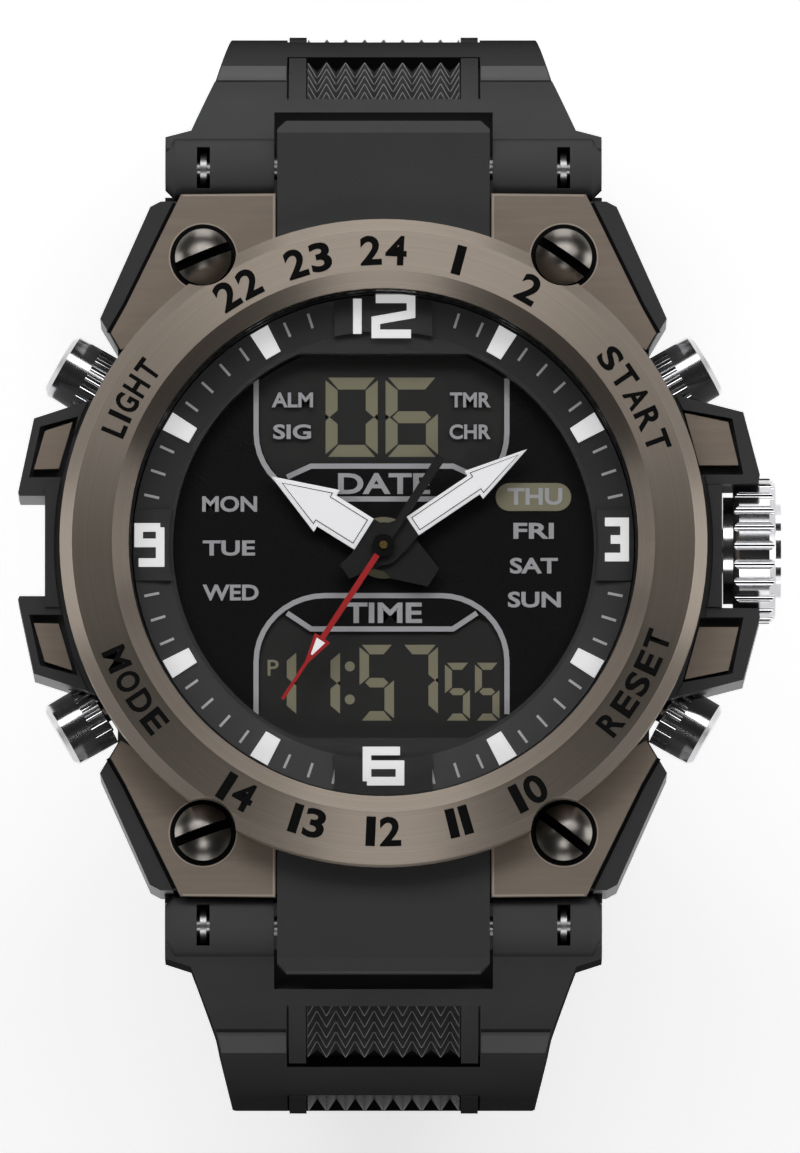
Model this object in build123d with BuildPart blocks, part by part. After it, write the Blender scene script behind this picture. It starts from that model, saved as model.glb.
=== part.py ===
"""Ana-digi sports watch. Millimetres, origin on the case back, +Z out of the dial, +Y to twelve."""
import os
from math import cos, pi, radians, sin

from build123d import *

os.makedirs("parts", exist_ok=True)

# Driving dimensions of the case
bezel_radius = 23.5
watch_height = 15.5
case_bottom = 1.2
case_top = 11.0
plate_top = 11.6
dial_seat = 8.6
dial_radius = 18.2
crown_z = 6.0
button_z = 6.5
hinge_y = 27.6
hinge_z = 9.0

# Clearances and the one overrun of cutting tools
slip = 0.1
running = 0.2
swing_gap = 0.3
overrun = 1.0
full_turn = 360
both_sides = (-1, 1)


def disc(radius, bottom, top, centre=(0, 0)):
    """An upright round bar."""
    with BuildPart() as made:
        with BuildSketch(Plane.XY.offset(bottom)):
            with Locations(centre):
                Circle(radius)
        extrude(amount=top - bottom)
    return made.part


def ring(outer, inner, bottom, top, centre=(0, 0)):
    """An upright tube."""
    with BuildPart() as made:
        with BuildSketch(Plane.XY.offset(bottom)):
            with Locations(centre):
                Circle(outer)
                Circle(inner, mode=Mode.SUBTRACT)
        extrude(amount=top - bottom)
    return made.part


def slab(points, bottom, top):
    """A straight-sided plate from its outline."""
    with BuildPart() as made:
        with BuildSketch(Plane.XY.offset(bottom)):
            with BuildLine():
                Polyline(*points, close=True)
            make_face()
        extrude(amount=top - bottom)
    return made.part


def block(left, right, front, back, bottom, top):
    """A box between three pairs of limits."""
    return slab(((left, front), (right, front), (right, back), (left, back)), bottom, top)


def turned(points):
    """A body turned about the hands' axis from its (radius, height) outline."""
    with BuildPart() as made:
        with BuildSketch(Plane.XZ):
            with BuildLine():
                Polyline(*points, close=True)
            make_face()
        revolve(axis=Axis.Z)
    return made.part


def rod(radius, start, finish):
    """A round bar between two points."""
    line = Vector(*finish) - Vector(*start)
    with BuildPart() as made:
        with BuildSketch(Plane(origin=start, z_dir=line)):
            Circle(radius)
        extrude(amount=line.length)
    return made.part


def polar(radius, angle):
    """A flat point from its radius and its angle from +X."""
    return (radius * cos(radians(angle)), radius * sin(radians(angle)))


def radial_rod(radius, start, finish, angle, height):
    """A round bar that points out from the hands' axis."""
    return rod(radius, (*polar(start, angle), height), (*polar(finish, angle), height))


def save(made, name):
    """Name the piece and write its file."""
    made.part.label = name
    export_step(made.part, "parts/" + name + ".step")


# Middle case: outline, guards, centre hoods and bores
corner_quarter = ((19.3, 14.4), (20.59, 16.56), (16.96, 24.7), (16.2, 25.1))
under_ring_radius = 23.2
side_x = 24.6
guard_low_z = 2.4
guard_top = 10.7
left_guard = ((20.5, 10.9), (25.4, 9.3), (26.55, 3.9), (26.45, 3.65), (20.5, 3.65))
right_guard = ((20.5, 11.2), (26.15, 9.75), (27.35, 5.2), (27.25, 4.55), (20.5, 4.45))
left_window = ((22.2, 9.45), (24.95, 8.7), (25.75, 5.0), (23.3, 5.0))
right_window = ((21.7, 9.95), (25.35, 9.3), (26.15, 5.2), (23.0, 5.2))
left_inlay = ((22.6, 9.05), (24.6, 8.4), (25.4, 5.6), (23.6, 5.65))
right_inlay = ((21.9, 9.7), (25.05, 9.05), (25.8, 5.9), (22.95, 5.9))
inlay_ridge = ((23.1, 9.4), (24.0, 5.9))
inlay_slope_drop = 0.9
inlay_slope_run = 2.0
window_floor = 9.2
inlay_top = 10.5
end_lip_half = 15.9
end_lip_y = 25.75
end_lip_top = 6.8
ring_groove_outer = 23.95
ring_groove_inner = 23.3
ring_groove_bottom = 10.3
case_edge = 0.6

hood_half = 7.72
hood_end = 31.0
hood_bottom = 6.2
hood_top = 11.8
hood_start = 20.9
hood_end_bevel = 0.95
hood_corner = 0.65

neck_outer = 20.5
neck_inner = 18.9
neck_top = 13.8
glass_seat = 12.1
dial_bore = 18.3
case_bore = 15.6
pin_radius = 0.75
crown_clear_radius = 5.6
crown_guard_x = 24.6
button_angles = {"2": 30, "4": -30, "8": 210, "10": 150}
button_seat = 22.6
button_pocket_radius = 2.75
tube_outer = 1.5
clip_pocket_radius = 1.75
tube_inner_end = 17.0
crown_tube_outer = 1.6
crown_tube_start = 16.6
screw_centre = (13.1, 20.97)
screw_shank_radius = 0.75
screw_shank_bottom = 6.4
back_screw_ring = 17.0
back_screw_angles = (45, 135, 225, 315)
back_screw_radius = 0.5
back_screw_top = 4.6
corner_screw_places = [(x * screw_centre[0], y * screw_centre[1]) for x in both_sides for y in both_sides]


def mirrored_outline(quarter):
    """A closed outline from its first-quarter points, mirrored into the other three."""
    upper = list(quarter) + [(-x, y) for x, y in reversed(quarter)]
    return upper + [(-x, -y) for x, y in upper]


def on_side(outline, side, bottom, top):
    """The two plates of one side of the case from one outline."""
    return [slab([(side * x, up * y) for x, y in outline], bottom, top) for up in both_sides]


def hood(up):
    """A centre hood that holds one spring bar."""
    back = hood_start
    with BuildPart() as made:
        with BuildSketch(Plane.XY.offset(hood_bottom)):
            with BuildLine():
                Polyline(
                    (-hood_half, up * back),
                    (hood_half, up * back),
                    (hood_half, up * (hood_end - hood_corner)),
                    (hood_half - hood_corner, up * hood_end),
                    (hood_corner - hood_half, up * hood_end),
                    (-hood_half, up * (hood_end - hood_corner)),
                    close=True,
                )
            make_face()
        extrude(amount=hood_top - hood_bottom)
        ends = edges().filter_by(Axis.X).group_by(Axis.Y)[-1 if up > 0 else 0]
        chamfer(ends, hood_end_bevel)
    return made.part


with BuildPart() as middle_case:
    with BuildSketch(Plane.XY.offset(case_bottom)):
        Circle(under_ring_radius)
        Rectangle(side_x + side_x, right_guard[-1][1] + right_guard[-1][1])
        with BuildLine():
            Polyline(*mirrored_outline(corner_quarter), close=True)
        make_face()
    extrude(amount=case_top - case_bottom)
    chamfer(faces().sort_by(Axis.Z)[0].outer_wire().edges(), case_edge)
    for up in both_sides:
        low, high = sorted((up * neck_outer, up * end_lip_y))
        add(block(-end_lip_half, end_lip_half, low, high, case_bottom + case_edge, end_lip_top))
    for side, guard, window in ((-1, left_guard, left_window), (1, right_guard, right_window)):
        for wing in on_side(guard, side, guard_low_z, guard_top):
            add(wing)
        for pocket in on_side(window, side, window_floor, guard_top):
            add(pocket, mode=Mode.SUBTRACT)
    add(rod(crown_clear_radius, (crown_guard_x, 0, crown_z), (bezel_radius + bezel_radius, 0, crown_z)),
        mode=Mode.SUBTRACT)
    add(ring(ring_groove_outer, ring_groove_inner, ring_groove_bottom, case_top), mode=Mode.SUBTRACT)
    for up in both_sides:
        add(hood(up))
    add(disc(neck_outer, case_top, neck_top))
    add(disc(case_bore, 0, watch_height), mode=Mode.SUBTRACT)
    add(disc(dial_bore, dial_seat, watch_height), mode=Mode.SUBTRACT)
    add(disc(neck_inner, glass_seat, watch_height), mode=Mode.SUBTRACT)
    for up in both_sides:
        add(rod(pin_radius, (-hood_end, up * hinge_y, hinge_z), (hood_end, up * hinge_y, hinge_z)),
            mode=Mode.SUBTRACT)
    add(rod(crown_tube_outer, (0, 0, crown_z), (hood_end, 0, crown_z)), mode=Mode.SUBTRACT)
    for angle in button_angles.values():
        add(radial_rod(tube_outer, 0, bezel_radius, angle, button_z), mode=Mode.SUBTRACT)
        add(radial_rod(clip_pocket_radius, 0, tube_inner_end, angle, button_z), mode=Mode.SUBTRACT)
        add(radial_rod(button_pocket_radius, button_seat, hood_end, angle, button_z), mode=Mode.SUBTRACT)
    for place in corner_screw_places:
        add(disc(screw_shank_radius, screw_shank_bottom, case_top, place), mode=Mode.SUBTRACT)
    for angle in back_screw_angles:
        add(disc(back_screw_radius, 0, back_screw_top, polar(back_screw_ring, angle)), mode=Mode.SUBTRACT)
save(middle_case, "middle_case")

with BuildPart() as inlay_slope:
    ridge_start, ridge_finish = Vector(*inlay_ridge[0]), Vector(*inlay_ridge[1])
    ridge_line = (ridge_finish - ridge_start).normalized()
    inward = ridge_line.cross(Vector(0, 0, 1))
    with BuildSketch(Plane(origin=ridge_start - ridge_line, x_dir=inward, z_dir=ridge_line)):
        with BuildLine():
            Polyline(
                (0, inlay_top),
                (inlay_slope_run, inlay_top - inlay_slope_drop),
                (inlay_slope_run, inlay_top + overrun),
                (0, inlay_top + overrun),
                close=True,
            )
        make_face()
    extrude(amount=watch_height)

with BuildPart() as guard_inlays:
    for plate in on_side(left_inlay, -1, window_floor, inlay_top):
        add(plate)
    for plate in on_side(right_inlay, 1, window_floor, inlay_top):
        add(plate)
    add(inlay_slope.part, mode=Mode.SUBTRACT)
    add(inlay_slope.part.mirror(Plane.XZ), mode=Mode.SUBTRACT)
save(guard_inlays, "guard_inlays")

# Bronze plate and ring
plate_quarter = ((19.07, 14.24), (19.79, 15.47), (18.71, 17.43), (14.71, 25.57), (7.85, 25.64))
plate_disc_radius = 22.9
ring_outline = (
    (20.5, 11.6), (23.5, 11.6), (23.5, 14.6), (22.6, 15.5),
    (19.7, 15.5), (18.5, 14.5), (18.5, 13.8), (20.5, 13.8),
)
screw_recess_radius = 2.4

with BuildPart() as bezel_plate:
    with BuildSketch(Plane.XY.offset(case_top)):
        Circle(plate_disc_radius)
        for across in both_sides:
            for up in both_sides:
                with BuildLine():
                    Polyline(
                        (across * (hood_half + slip), up * hood_start),
                        *((across * x, up * y) for x, y in plate_quarter),
                        close=True,
                    )
                make_face()
        Circle(neck_outer, mode=Mode.SUBTRACT)
        for up in both_sides:
            with Locations((0, up * hood_end)):
                Rectangle(hood_half + hood_half, hood_end + hood_end - hood_start - hood_start,
                          mode=Mode.SUBTRACT)
        with Locations(*corner_screw_places):
            Circle(screw_shank_radius, mode=Mode.SUBTRACT)
    extrude(amount=plate_top - case_top)
save(bezel_plate, "bezel_plate")

with BuildPart() as bezel_ring:
    add(turned(ring_outline))
    for place in corner_screw_places:
        add(disc(screw_recess_radius, 0, watch_height + overrun, place), mode=Mode.SUBTRACT)
    for up in both_sides:
        low, high = sorted((up * hood_start, up * hood_end))
        add(block(-hood_half, hood_half, low, high, 0, hood_top), mode=Mode.SUBTRACT)
save(bezel_ring, "bezel_ring")

# Corner screws
screw_head_radius = 2.1
screw_rim_height = 0.45
screw_dome_height = 0.95
screw_slot_width = 0.7
screw_slot_depth = 0.95
screw_slot_angles = {(-1, 1): 22, (1, 1): -35, (-1, -1): 20, (1, -1): -38}


with BuildPart() as corner_screws:
    for (across, up), angle in screw_slot_angles.items():
        centre = (across * screw_centre[0], up * screw_centre[1])
        rim = (centre[0] + screw_head_radius, plate_top + screw_rim_height)
        peak = (centre[0], rim[1] + screw_dome_height)
        with BuildSketch(Plane.XZ.offset(-centre[1])):
            with BuildLine():
                Polyline(peak, (centre[0], plate_top), (rim[0], plate_top), rim)
                RadiusArc(rim, peak, -(screw_head_radius**2 + screw_dome_height**2) / (2 * screw_dome_height))
            make_face()
        revolve(axis=Axis((*centre, 0), (0, 0, 1)))
        add(disc(screw_shank_radius, screw_shank_bottom, plate_top, centre))
        with BuildSketch(Plane.XY.offset(peak[1])):
            with Locations(Location((*centre, 0), (0, 0, angle))):
                Rectangle(screw_head_radius + screw_head_radius + slip, screw_slot_width)
        extrude(amount=-screw_slot_depth, mode=Mode.SUBTRACT)
save(corner_screws, "corner_screws")

# Glass, its gasket and the chapter ring
glass_radius = 18.4
glass_bottom = 12.3
glass_top = 14.3
glass_bevel = 0.3
chapter_radius = 18.2
chapter_inner = 15.3
chapter_top_inner = 15.6
chapter_flat_y = 14.0
chapter_bottom = 9.0
chapter_low = 10.9
chapter_high = 11.3
dial_top = 9.0

with BuildPart() as crystal:
    add(disc(glass_radius, glass_bottom, glass_top))
    chamfer(faces().sort_by(Axis.Z)[-1].edges(), glass_bevel)
save(crystal, "crystal")

with BuildPart() as crystal_gasket:
    add(ring(neck_inner, glass_radius, glass_seat, neck_top))
    add(ring(neck_inner, dial_bore, glass_seat, glass_bottom))
save(crystal_gasket, "crystal_gasket")

block_half_12 = 3.55
block_half_3 = 2.58
block_top = 11.5
flat_fill_radius = 16.6
chapter_outline = (
    (chapter_inner, chapter_bottom),
    (chapter_radius, chapter_bottom),
    (chapter_radius, chapter_high),
    (chapter_top_inner, chapter_low),
    (chapter_inner, chapter_low),
)


def chapter_block(half_x, half_y):
    """Two raised blocks for numerals, cut to the ring between its inner and outer edge."""
    with BuildPart() as made:
        with BuildSketch(Plane.XY.offset(chapter_bottom)):
            Circle(chapter_radius)
            Circle(chapter_top_inner, mode=Mode.SUBTRACT)
            Rectangle(half_x + half_x, half_y + half_y, mode=Mode.INTERSECT)
        extrude(amount=block_top - chapter_bottom)
    return made.part


with BuildPart() as chapter_ring:
    add(turned(chapter_outline))
    with BuildSketch(Plane.XY.offset(chapter_bottom)):
        Circle(flat_fill_radius)
        Rectangle(chapter_radius + chapter_radius, chapter_flat_y + chapter_flat_y, mode=Mode.SUBTRACT)
    extrude(amount=chapter_low - chapter_bottom)
    add(chapter_block(block_half_12, chapter_radius))
    add(chapter_block(chapter_radius, block_half_3))
save(chapter_ring, "chapter_ring")

# Applied white markers: eight bars, and the numerals as rounded strokes
marker_rise = 0.12
bar_inner = 16.0
bar_outer = 18.1
bar_inner_width = 1.2
bar_outer_width = 1.45
bar_top = 11.45
bar_hours = (1, 2, 4, 5, 7, 8, 10, 11)
hours_on_dial = 12
stroke_width = 0.62
one_place = (-1.9, 16.67)
two_place = (0.72, 16.67)
three_place = (16.8, 0.4)
six_place = (0, -16.1)
nine_place = (-17.0, 0)
numeral_half = 1.28
six_half = 1.1
one_shares = (((0, -1), (0, 1)),)
two_shares = (((-1, 1), (1, 1), (1, 0.12), (-1, -0.23), (-1, -1), (1, -1)),)
three_shares = (((-0.56, 1), (0.56, 1), (0.56, -1), (-0.56, -1)), ((-0.23, 0), (0.56, 0)))
six_shares = (((1.09, 1), (-1.09, 1), (-1.09, -1)), ((-1.09, 0.09), (1.09, 0.09), (1.09, -1), (-1.09, -1)))
nine_shares = (((0.61, 1), (0.61, -1), (-0.61, -1)), ((0.61, 1), (-0.61, 1), (-0.61, 0.12), (0.61, 0.12)))


def numeral(stroke_shares, place, half):
    """One numeral about its place, from strokes given as shares of half its height."""
    with BuildPart() as made:
        with BuildSketch(Plane.XY.offset(block_top)):
            for stroke in stroke_shares:
                with BuildLine():
                    Polyline(*((place[0] + x * half, place[1] + y * half) for x, y in stroke))
                trace(line_width=stroke_width)
        extrude(amount=marker_rise)
    return made.part


with BuildPart() as hour_markers:
    for hour in bar_hours:
        turned_by = (0, 0, -hour * full_turn / hours_on_dial)
        with BuildSketch(Plane.XY.offset(chapter_low - marker_rise).rotated(turned_by)):
            with BuildLine():
                Polyline(
                    (-bar_inner_width / 2, bar_inner),
                    (bar_inner_width / 2, bar_inner),
                    (bar_outer_width / 2, bar_outer),
                    (-bar_outer_width / 2, bar_outer),
                    close=True,
                )
            make_face()
        extrude(amount=bar_top - chapter_low + marker_rise)
    add(turned(chapter_outline), mode=Mode.SUBTRACT)
    add(numeral(one_shares, one_place, numeral_half))
    add(numeral(two_shares, two_place, numeral_half))
    add(numeral(three_shares, three_place, numeral_half))
    add(numeral(nine_shares, nine_place, numeral_half))
    add(numeral(six_shares, six_place, six_half))
save(hour_markers, "hour_markers")

# Dial with two display windows, the display and its light guide
hole_radius = 1.1
upper_window = (
    (-9.1, 14.3), (-9.1, 8.4), (-8.75, 6.75), (-7.8, 5.3), (-7.0, 5.0), (-5.4, 6.1), (5.1, 6.1), (6.8, 5.05),
    (7.6, 5.4), (8.45, 6.75), (8.8, 8.4), (8.8, 14.3),
)
lower_window = (
    (-9.1, -14.3), (-9.1, -8.3), (-8.75, -6.65), (-7.8, -5.2), (-7.2, -4.75), (-5.1, -6.05), (5.05, -6.05),
    (6.8, -4.95), (7.7, -5.3), (8.5, -6.65), (8.85, -8.3), (8.85, -14.3),
)
display_bottom = 7.4
display_radius = 15.2
display_hole = 1.25
guide_bottom = 6.7
guide_half_x = 12.6
guide_half_y = 11.2
frame_inner = 13.7
board_radius = frame_inner - slip

with BuildPart() as dial:
    add(disc(dial_radius, dial_seat, dial_top))
    add(disc(hole_radius, 0, watch_height), mode=Mode.SUBTRACT)
    add(slab(upper_window, 0, watch_height), mode=Mode.SUBTRACT)
    add(slab(lower_window, 0, watch_height), mode=Mode.SUBTRACT)
save(dial, "dial")

with BuildPart() as lcd_panel:
    add(disc(display_radius, display_bottom, dial_seat))
    add(disc(display_hole, 0, watch_height), mode=Mode.SUBTRACT)
save(lcd_panel, "lcd_panel")

with BuildPart() as light_guide:
    add(block(-guide_half_x, guide_half_x, -guide_half_y, guide_half_y, guide_bottom, display_bottom))
    add(disc(display_hole, 0, watch_height), mode=Mode.SUBTRACT)
    add(disc(board_radius, 0, watch_height), mode=Mode.INTERSECT)
save(light_guide, "light_guide")

# Module: frame, board, contacts, battery and sounder
frame_outer = 15.3
frame_bottom = 2.3
web_bottom = 4.9
web_top = 5.5
plate_left = -7.3
plate_right = 8.6
plate_half_y = 7.0
coil_x = -8.6
coil_opening_left = -9.9
stem_hole_radius = 0.7
contact_strip_y = 12.3
contact_strip_half = 0.7
contact_strip_half_x = 5.2
board_bottom = 2.5
board_top = 2.9
battery_y = -8.5
battery_radius = 5.0
battery_bottom = 2.3
battery_top = 4.8
sounder_radius = 6.5
sounder_y = 5.0
back_plug_top = 2.0
sounder_top = 2.25
clip_half = 1.5
tab_half = 1.0
tab_reach = 8.9
tab_top = 5.9
button_leaf_thick = 0.15
button_leaf_half = 1.1

with BuildPart() as module_frame:
    add(ring(frame_outer, frame_inner, frame_bottom, display_bottom))
    add(disc(frame_inner + slip, web_bottom, web_top))
    add(block(coil_opening_left, plate_right, -plate_half_y, plate_half_y, 0, web_top), mode=Mode.SUBTRACT)
    for up in both_sides:
        add(block(-contact_strip_half_x, contact_strip_half_x, up * contact_strip_y - contact_strip_half,
                  up * contact_strip_y + contact_strip_half, 0, display_bottom), mode=Mode.SUBTRACT)
    add(rod(stem_hole_radius, (0, 0, crown_z), (hood_end, 0, crown_z)), mode=Mode.SUBTRACT)
save(module_frame, "module_frame")

with BuildPart() as circuit_board:
    add(disc(board_radius, board_bottom, board_top))
    add(disc(battery_radius + swing_gap, 0, case_top, (0, battery_y)), mode=Mode.SUBTRACT)
save(circuit_board, "circuit_board")

with BuildPart() as contact_strips:
    for up in both_sides:
        add(block(-contact_strip_half_x, contact_strip_half_x, up * contact_strip_y - contact_strip_half,
                  up * contact_strip_y + contact_strip_half, board_top, display_bottom))
    add(disc(battery_radius + slip, 0, case_top, (0, battery_y)), mode=Mode.SUBTRACT)
save(contact_strips, "contact_strips")

with BuildPart() as battery:
    add(disc(battery_radius, battery_bottom, battery_top, (0, battery_y)))
save(battery, "battery")

with BuildPart() as battery_clip:
    add(block(-battery_radius - clip_half, battery_radius + clip_half, battery_y - clip_half,
              battery_y + clip_half, back_plug_top + slip, battery_bottom))
    for side in both_sides:
        left, right = sorted((side * (battery_radius + slip), side * (battery_radius + clip_half)))
        add(block(left, right, battery_y - clip_half, battery_y + clip_half,
                  back_plug_top + slip, board_bottom))
save(battery_clip, "battery_clip")

with BuildPart() as sounder:
    add(disc(sounder_radius, back_plug_top, sounder_top, (0, sounder_y)))
save(sounder, "sounder")

with BuildPart() as button_contacts:
    for angle in button_angles.values():
        with BuildSketch(Plane(origin=(*polar(frame_outer, angle), button_z), z_dir=(*polar(1, angle), 0))):
            Rectangle(button_leaf_half + button_leaf_half, button_leaf_half)
        extrude(amount=button_leaf_thick)
    add(disc(frame_outer, 0, watch_height), mode=Mode.SUBTRACT)
save(button_contacts, "button_contacts")

# Hand movement: two plates, stepping motor and wheels
bridge_bottom = 2.95
bridge_top = 3.3
rotor_x = -5.88
between_x = -3.36
third_y = 3.4
minute_wheel_y = -3.0
pivot_radius = 0.12
arbor_radius = 0.2
cannon_radius = 0.55
cannon_bore = 0.26
hour_tube_radius = 0.95
hour_tube_bore = 0.62
arbor_top = 11.9
cannon_top = 11.05
hour_tube_top = 10.5
rotor_radius = 0.75
stator_left = -7.2
stator_right = -4.75
stator_half_y = 6.4
stator_low = 3.8
stator_high = 4.3
stator_hole = 1.0
stator_lug_inner_y = 5.2
coil_core_half = 0.5
coil_core_top = 4.8
coil_radius = 1.05
coil_half_length = 4.4
pillar_radius = 0.5
pillar_places = ((4.2, 3.9), (4.2, -2.0), (-4.1, 4.7))
bridge_outline = ((-7.1, -2.4), (5.0, -2.9), (5.0, 5.0), (-4.8, 5.4), (-7.1, 1.6))
gear_addendum_share = 0.8
gear_dedendum_share = 1.15
gear_tip_share = 0.2
gear_root_share = 0.46


def gear(teeth, module, heights, centre, first_tooth):
    """A toothed disc with its first tooth at an angle from +X."""
    tip = module * (teeth / 2 + gear_addendum_share)
    root = module * (teeth / 2 - gear_dedendum_share)
    points = []
    for number in range(teeth):
        middle = first_tooth + number * full_turn / teeth
        for radius, share in ((root, -gear_root_share / 2), (tip, -gear_tip_share / 2),
                              (tip, gear_tip_share / 2), (root, gear_root_share / 2)):
            x, y = polar(radius, middle + share * full_turn / teeth)
            points.append((centre[0] + x, centre[1] + y))
    return slab(points, *heights)


def gap_facing(teeth, angle):
    """The first tooth's angle that puts a gap at an angle."""
    return angle + full_turn / teeth / 2


hub = (0, 0)
rotor_at = (rotor_x, 0)
between_at = (between_x, 0)
third_at = (0, third_y)
minute_wheel_at = (0, minute_wheel_y)
rotor_teeth = 6
between_wheel_teeth = 30
second_wheel_teeth = 48
third_wheel_teeth = 60
centre_wheel_teeth = 64
pinion_teeth = 8
cannon_teeth = 12
minute_wheel_teeth = 36
minute_pinion_teeth = 10
hour_wheel_teeth = 40
rotor_module = 0.14
between_module = 0.12
third_module = 0.1
centre_module = 2 * third_y / (pinion_teeth + centre_wheel_teeth)
cannon_module = 0.125
hour_module = 0.12
rotor_pinion_z = (3.35, 3.65)
between_wheel_z = (3.4, 3.6)
between_pinion_z = (3.6, 4.0)
second_wheel_z = (3.75, 3.95)
second_pinion_z = (3.95, 4.4)
third_wheel_z = (4.15, 4.35)
third_pinion_z = (4.35, 4.8)
centre_wheel_z = (4.55, 4.75)
cannon_pinion_z = (5.6, 5.9)
minute_wheel_z = (5.65, 5.85)
minute_pinion_z = (5.85, 6.25)
minute_post_top = 6.4
hour_wheel_z = (6.0, 6.2)
left_side = 180
upward = 90
downward = 270

with BuildPart() as main_plate:
    add(block(plate_left, plate_right, -plate_half_y, plate_half_y, web_bottom, web_top))
    for up in both_sides:
        low, high = sorted((up * (plate_half_y - tab_half), up * tab_reach))
        add(block(-tab_half, tab_half, low, high, web_top, tab_top))
    add(disc(cannon_radius + slip, 0, watch_height), mode=Mode.SUBTRACT)
    for place in (rotor_at, between_at, third_at):
        add(disc(pivot_radius + slip / 2, 0, web_bottom + slip + running, place), mode=Mode.SUBTRACT)
    add(disc(pivot_radius, 0, watch_height, minute_wheel_at), mode=Mode.SUBTRACT)
save(main_plate, "main_plate")

with BuildPart() as train_bridge:
    add(slab(bridge_outline, bridge_bottom, bridge_top))
    for place in pillar_places:
        add(disc(pillar_radius, bridge_bottom, web_bottom, place))
    for place in (rotor_at, between_at, hub, third_at):
        add(disc(pivot_radius + slip / 2, bridge_bottom + slip, watch_height, place), mode=Mode.SUBTRACT)
save(train_bridge, "train_bridge")


def arbor(centre, bottom=bridge_bottom + slip, top=web_bottom + slip + slip):
    """A thin arbor that turns in the bridge and the main plate."""
    return disc(pivot_radius, bottom, top, centre)


with BuildPart() as rotor:
    add(gear(rotor_teeth, rotor_module, rotor_pinion_z, rotor_at, 0))
    add(disc(rotor_radius, stator_low - slip, stator_high + slip, rotor_at))
    add(arbor(rotor_at))
save(rotor, "rotor")

with BuildPart() as between_wheel:
    add(gear(between_wheel_teeth, rotor_module, between_wheel_z, between_at,
             gap_facing(between_wheel_teeth, left_side)))
    add(gear(pinion_teeth, between_module, between_pinion_z, between_at, 0))
    add(arbor(between_at))
save(between_wheel, "between_wheel")

with BuildPart() as second_wheel:
    add(gear(second_wheel_teeth, between_module, second_wheel_z, hub,
             gap_facing(second_wheel_teeth, left_side)))
    add(gear(pinion_teeth, third_module, second_pinion_z, hub, upward))
    add(arbor(hub, top=arbor_top))
    add(disc(arbor_radius, second_pinion_z[0], arbor_top, hub))
save(second_wheel, "second_wheel")

with BuildPart() as third_wheel:
    add(gear(third_wheel_teeth, third_module, third_wheel_z, third_at,
             gap_facing(third_wheel_teeth, downward)))
    add(gear(pinion_teeth, centre_module, third_pinion_z, third_at, downward))
    add(arbor(third_at))
save(third_wheel, "third_wheel")

with BuildPart() as centre_wheel:
    add(gear(centre_wheel_teeth, centre_module, centre_wheel_z, hub, gap_facing(centre_wheel_teeth, upward)))
    add(disc(cannon_radius, centre_wheel_z[0], cannon_top, hub))
    add(gear(cannon_teeth, cannon_module, cannon_pinion_z, hub, downward))
    add(disc(cannon_bore, 0, watch_height, hub), mode=Mode.SUBTRACT)
save(centre_wheel, "centre_wheel")

with BuildPart() as minute_wheel:
    add(gear(minute_wheel_teeth, cannon_module, minute_wheel_z, minute_wheel_at,
             gap_facing(minute_wheel_teeth, upward)))
    add(gear(minute_pinion_teeth, hour_module, minute_pinion_z, minute_wheel_at, upward))
    add(disc(pivot_radius + slip, 0, watch_height, minute_wheel_at), mode=Mode.SUBTRACT)
save(minute_wheel, "minute_wheel")

with BuildPart() as minute_post:
    add(disc(pivot_radius, web_bottom, minute_post_top, minute_wheel_at))
save(minute_post, "minute_post")

with BuildPart() as hour_wheel:
    add(gear(hour_wheel_teeth, hour_module, hour_wheel_z, hub, gap_facing(hour_wheel_teeth, downward)))
    add(disc(hour_tube_radius, hour_wheel_z[0], hour_tube_top, hub))
    add(disc(hour_tube_bore, 0, watch_height, hub), mode=Mode.SUBTRACT)
save(hour_wheel, "hour_wheel")

with BuildPart() as stator:
    add(block(stator_left, stator_right, -stator_half_y, stator_half_y, stator_low, stator_high))
    for up in both_sides:
        low, high = sorted((up * stator_lug_inner_y, up * stator_half_y))
        add(block(coil_x - coil_core_half, stator_left + slip, low, high, stator_low, stator_high))
    add(disc(stator_hole, 0, watch_height, rotor_at), mode=Mode.SUBTRACT)
save(stator, "stator")

with BuildPart() as motor_coil:
    add(block(coil_x - coil_core_half, coil_x + coil_core_half, -stator_half_y, stator_half_y, stator_high,
              coil_core_top))
    add(rod(coil_radius, (coil_x, -coil_half_length, stator_high + slip),
            (coil_x, coil_half_length, stator_high + slip)))
save(motor_coil, "motor_coil")

# Hands, at nine and a half past ten
hour_angle = 58
minute_angle = -56
second_angle = -213.2
hour_hand_z = (10.05, 10.45)
minute_hand_z = (10.65, 11.0)
second_hand_z = (11.35, 11.6)
hour_outline = (
    (0, 9.65), (1.8, 4.85), (1.33, 4.85), (1.33, 0), (1.67, -1.8), (0.75, -4.3),
    (-0.75, -4.3), (-1.67, -1.8), (-1.33, 0), (-1.33, 4.85), (-1.8, 4.85),
)
minute_outline = (
    (0, 12.6), (1.23, 7.9), (0.81, 7.9), (0.81, 2.55), (1.2, 1.2), (1.3, 0), (0.6, -3.4),
    (-0.6, -3.4), (-1.3, 0), (-1.2, 1.2), (-0.81, 2.55), (-0.81, 7.9), (-1.23, 7.9),
)
second_outline = (
    (0, 13.4), (0.12, 13.4), (0.12, 10.2), (0.66, 8.08), (0.2, 8.08), (0.22, 0), (0.25, 0), (0.35, -7.7),
    (-0.35, -7.7), (-0.25, 0), (-0.22, 0), (-0.2, 8.08), (-0.66, 8.08), (-0.12, 10.2), (-0.12, 13.4),
)
second_hub_radius = 0.85
hour_hub_radius = 1.75
minute_hub_radius = 1.4


def hand(outline, heights, hub_radius, bore, angle):
    """A flat hand on the centre, pointing to an angle from twelve."""
    with BuildPart() as made:
        with BuildSketch(Plane.XY.offset(heights[0])):
            with BuildLine():
                Polyline(*outline, close=True)
            make_face()
            Circle(hub_radius)
            Circle(bore, mode=Mode.SUBTRACT)
        extrude(amount=heights[1] - heights[0])
    return made.part.rotate(Axis.Z, angle)


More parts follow.
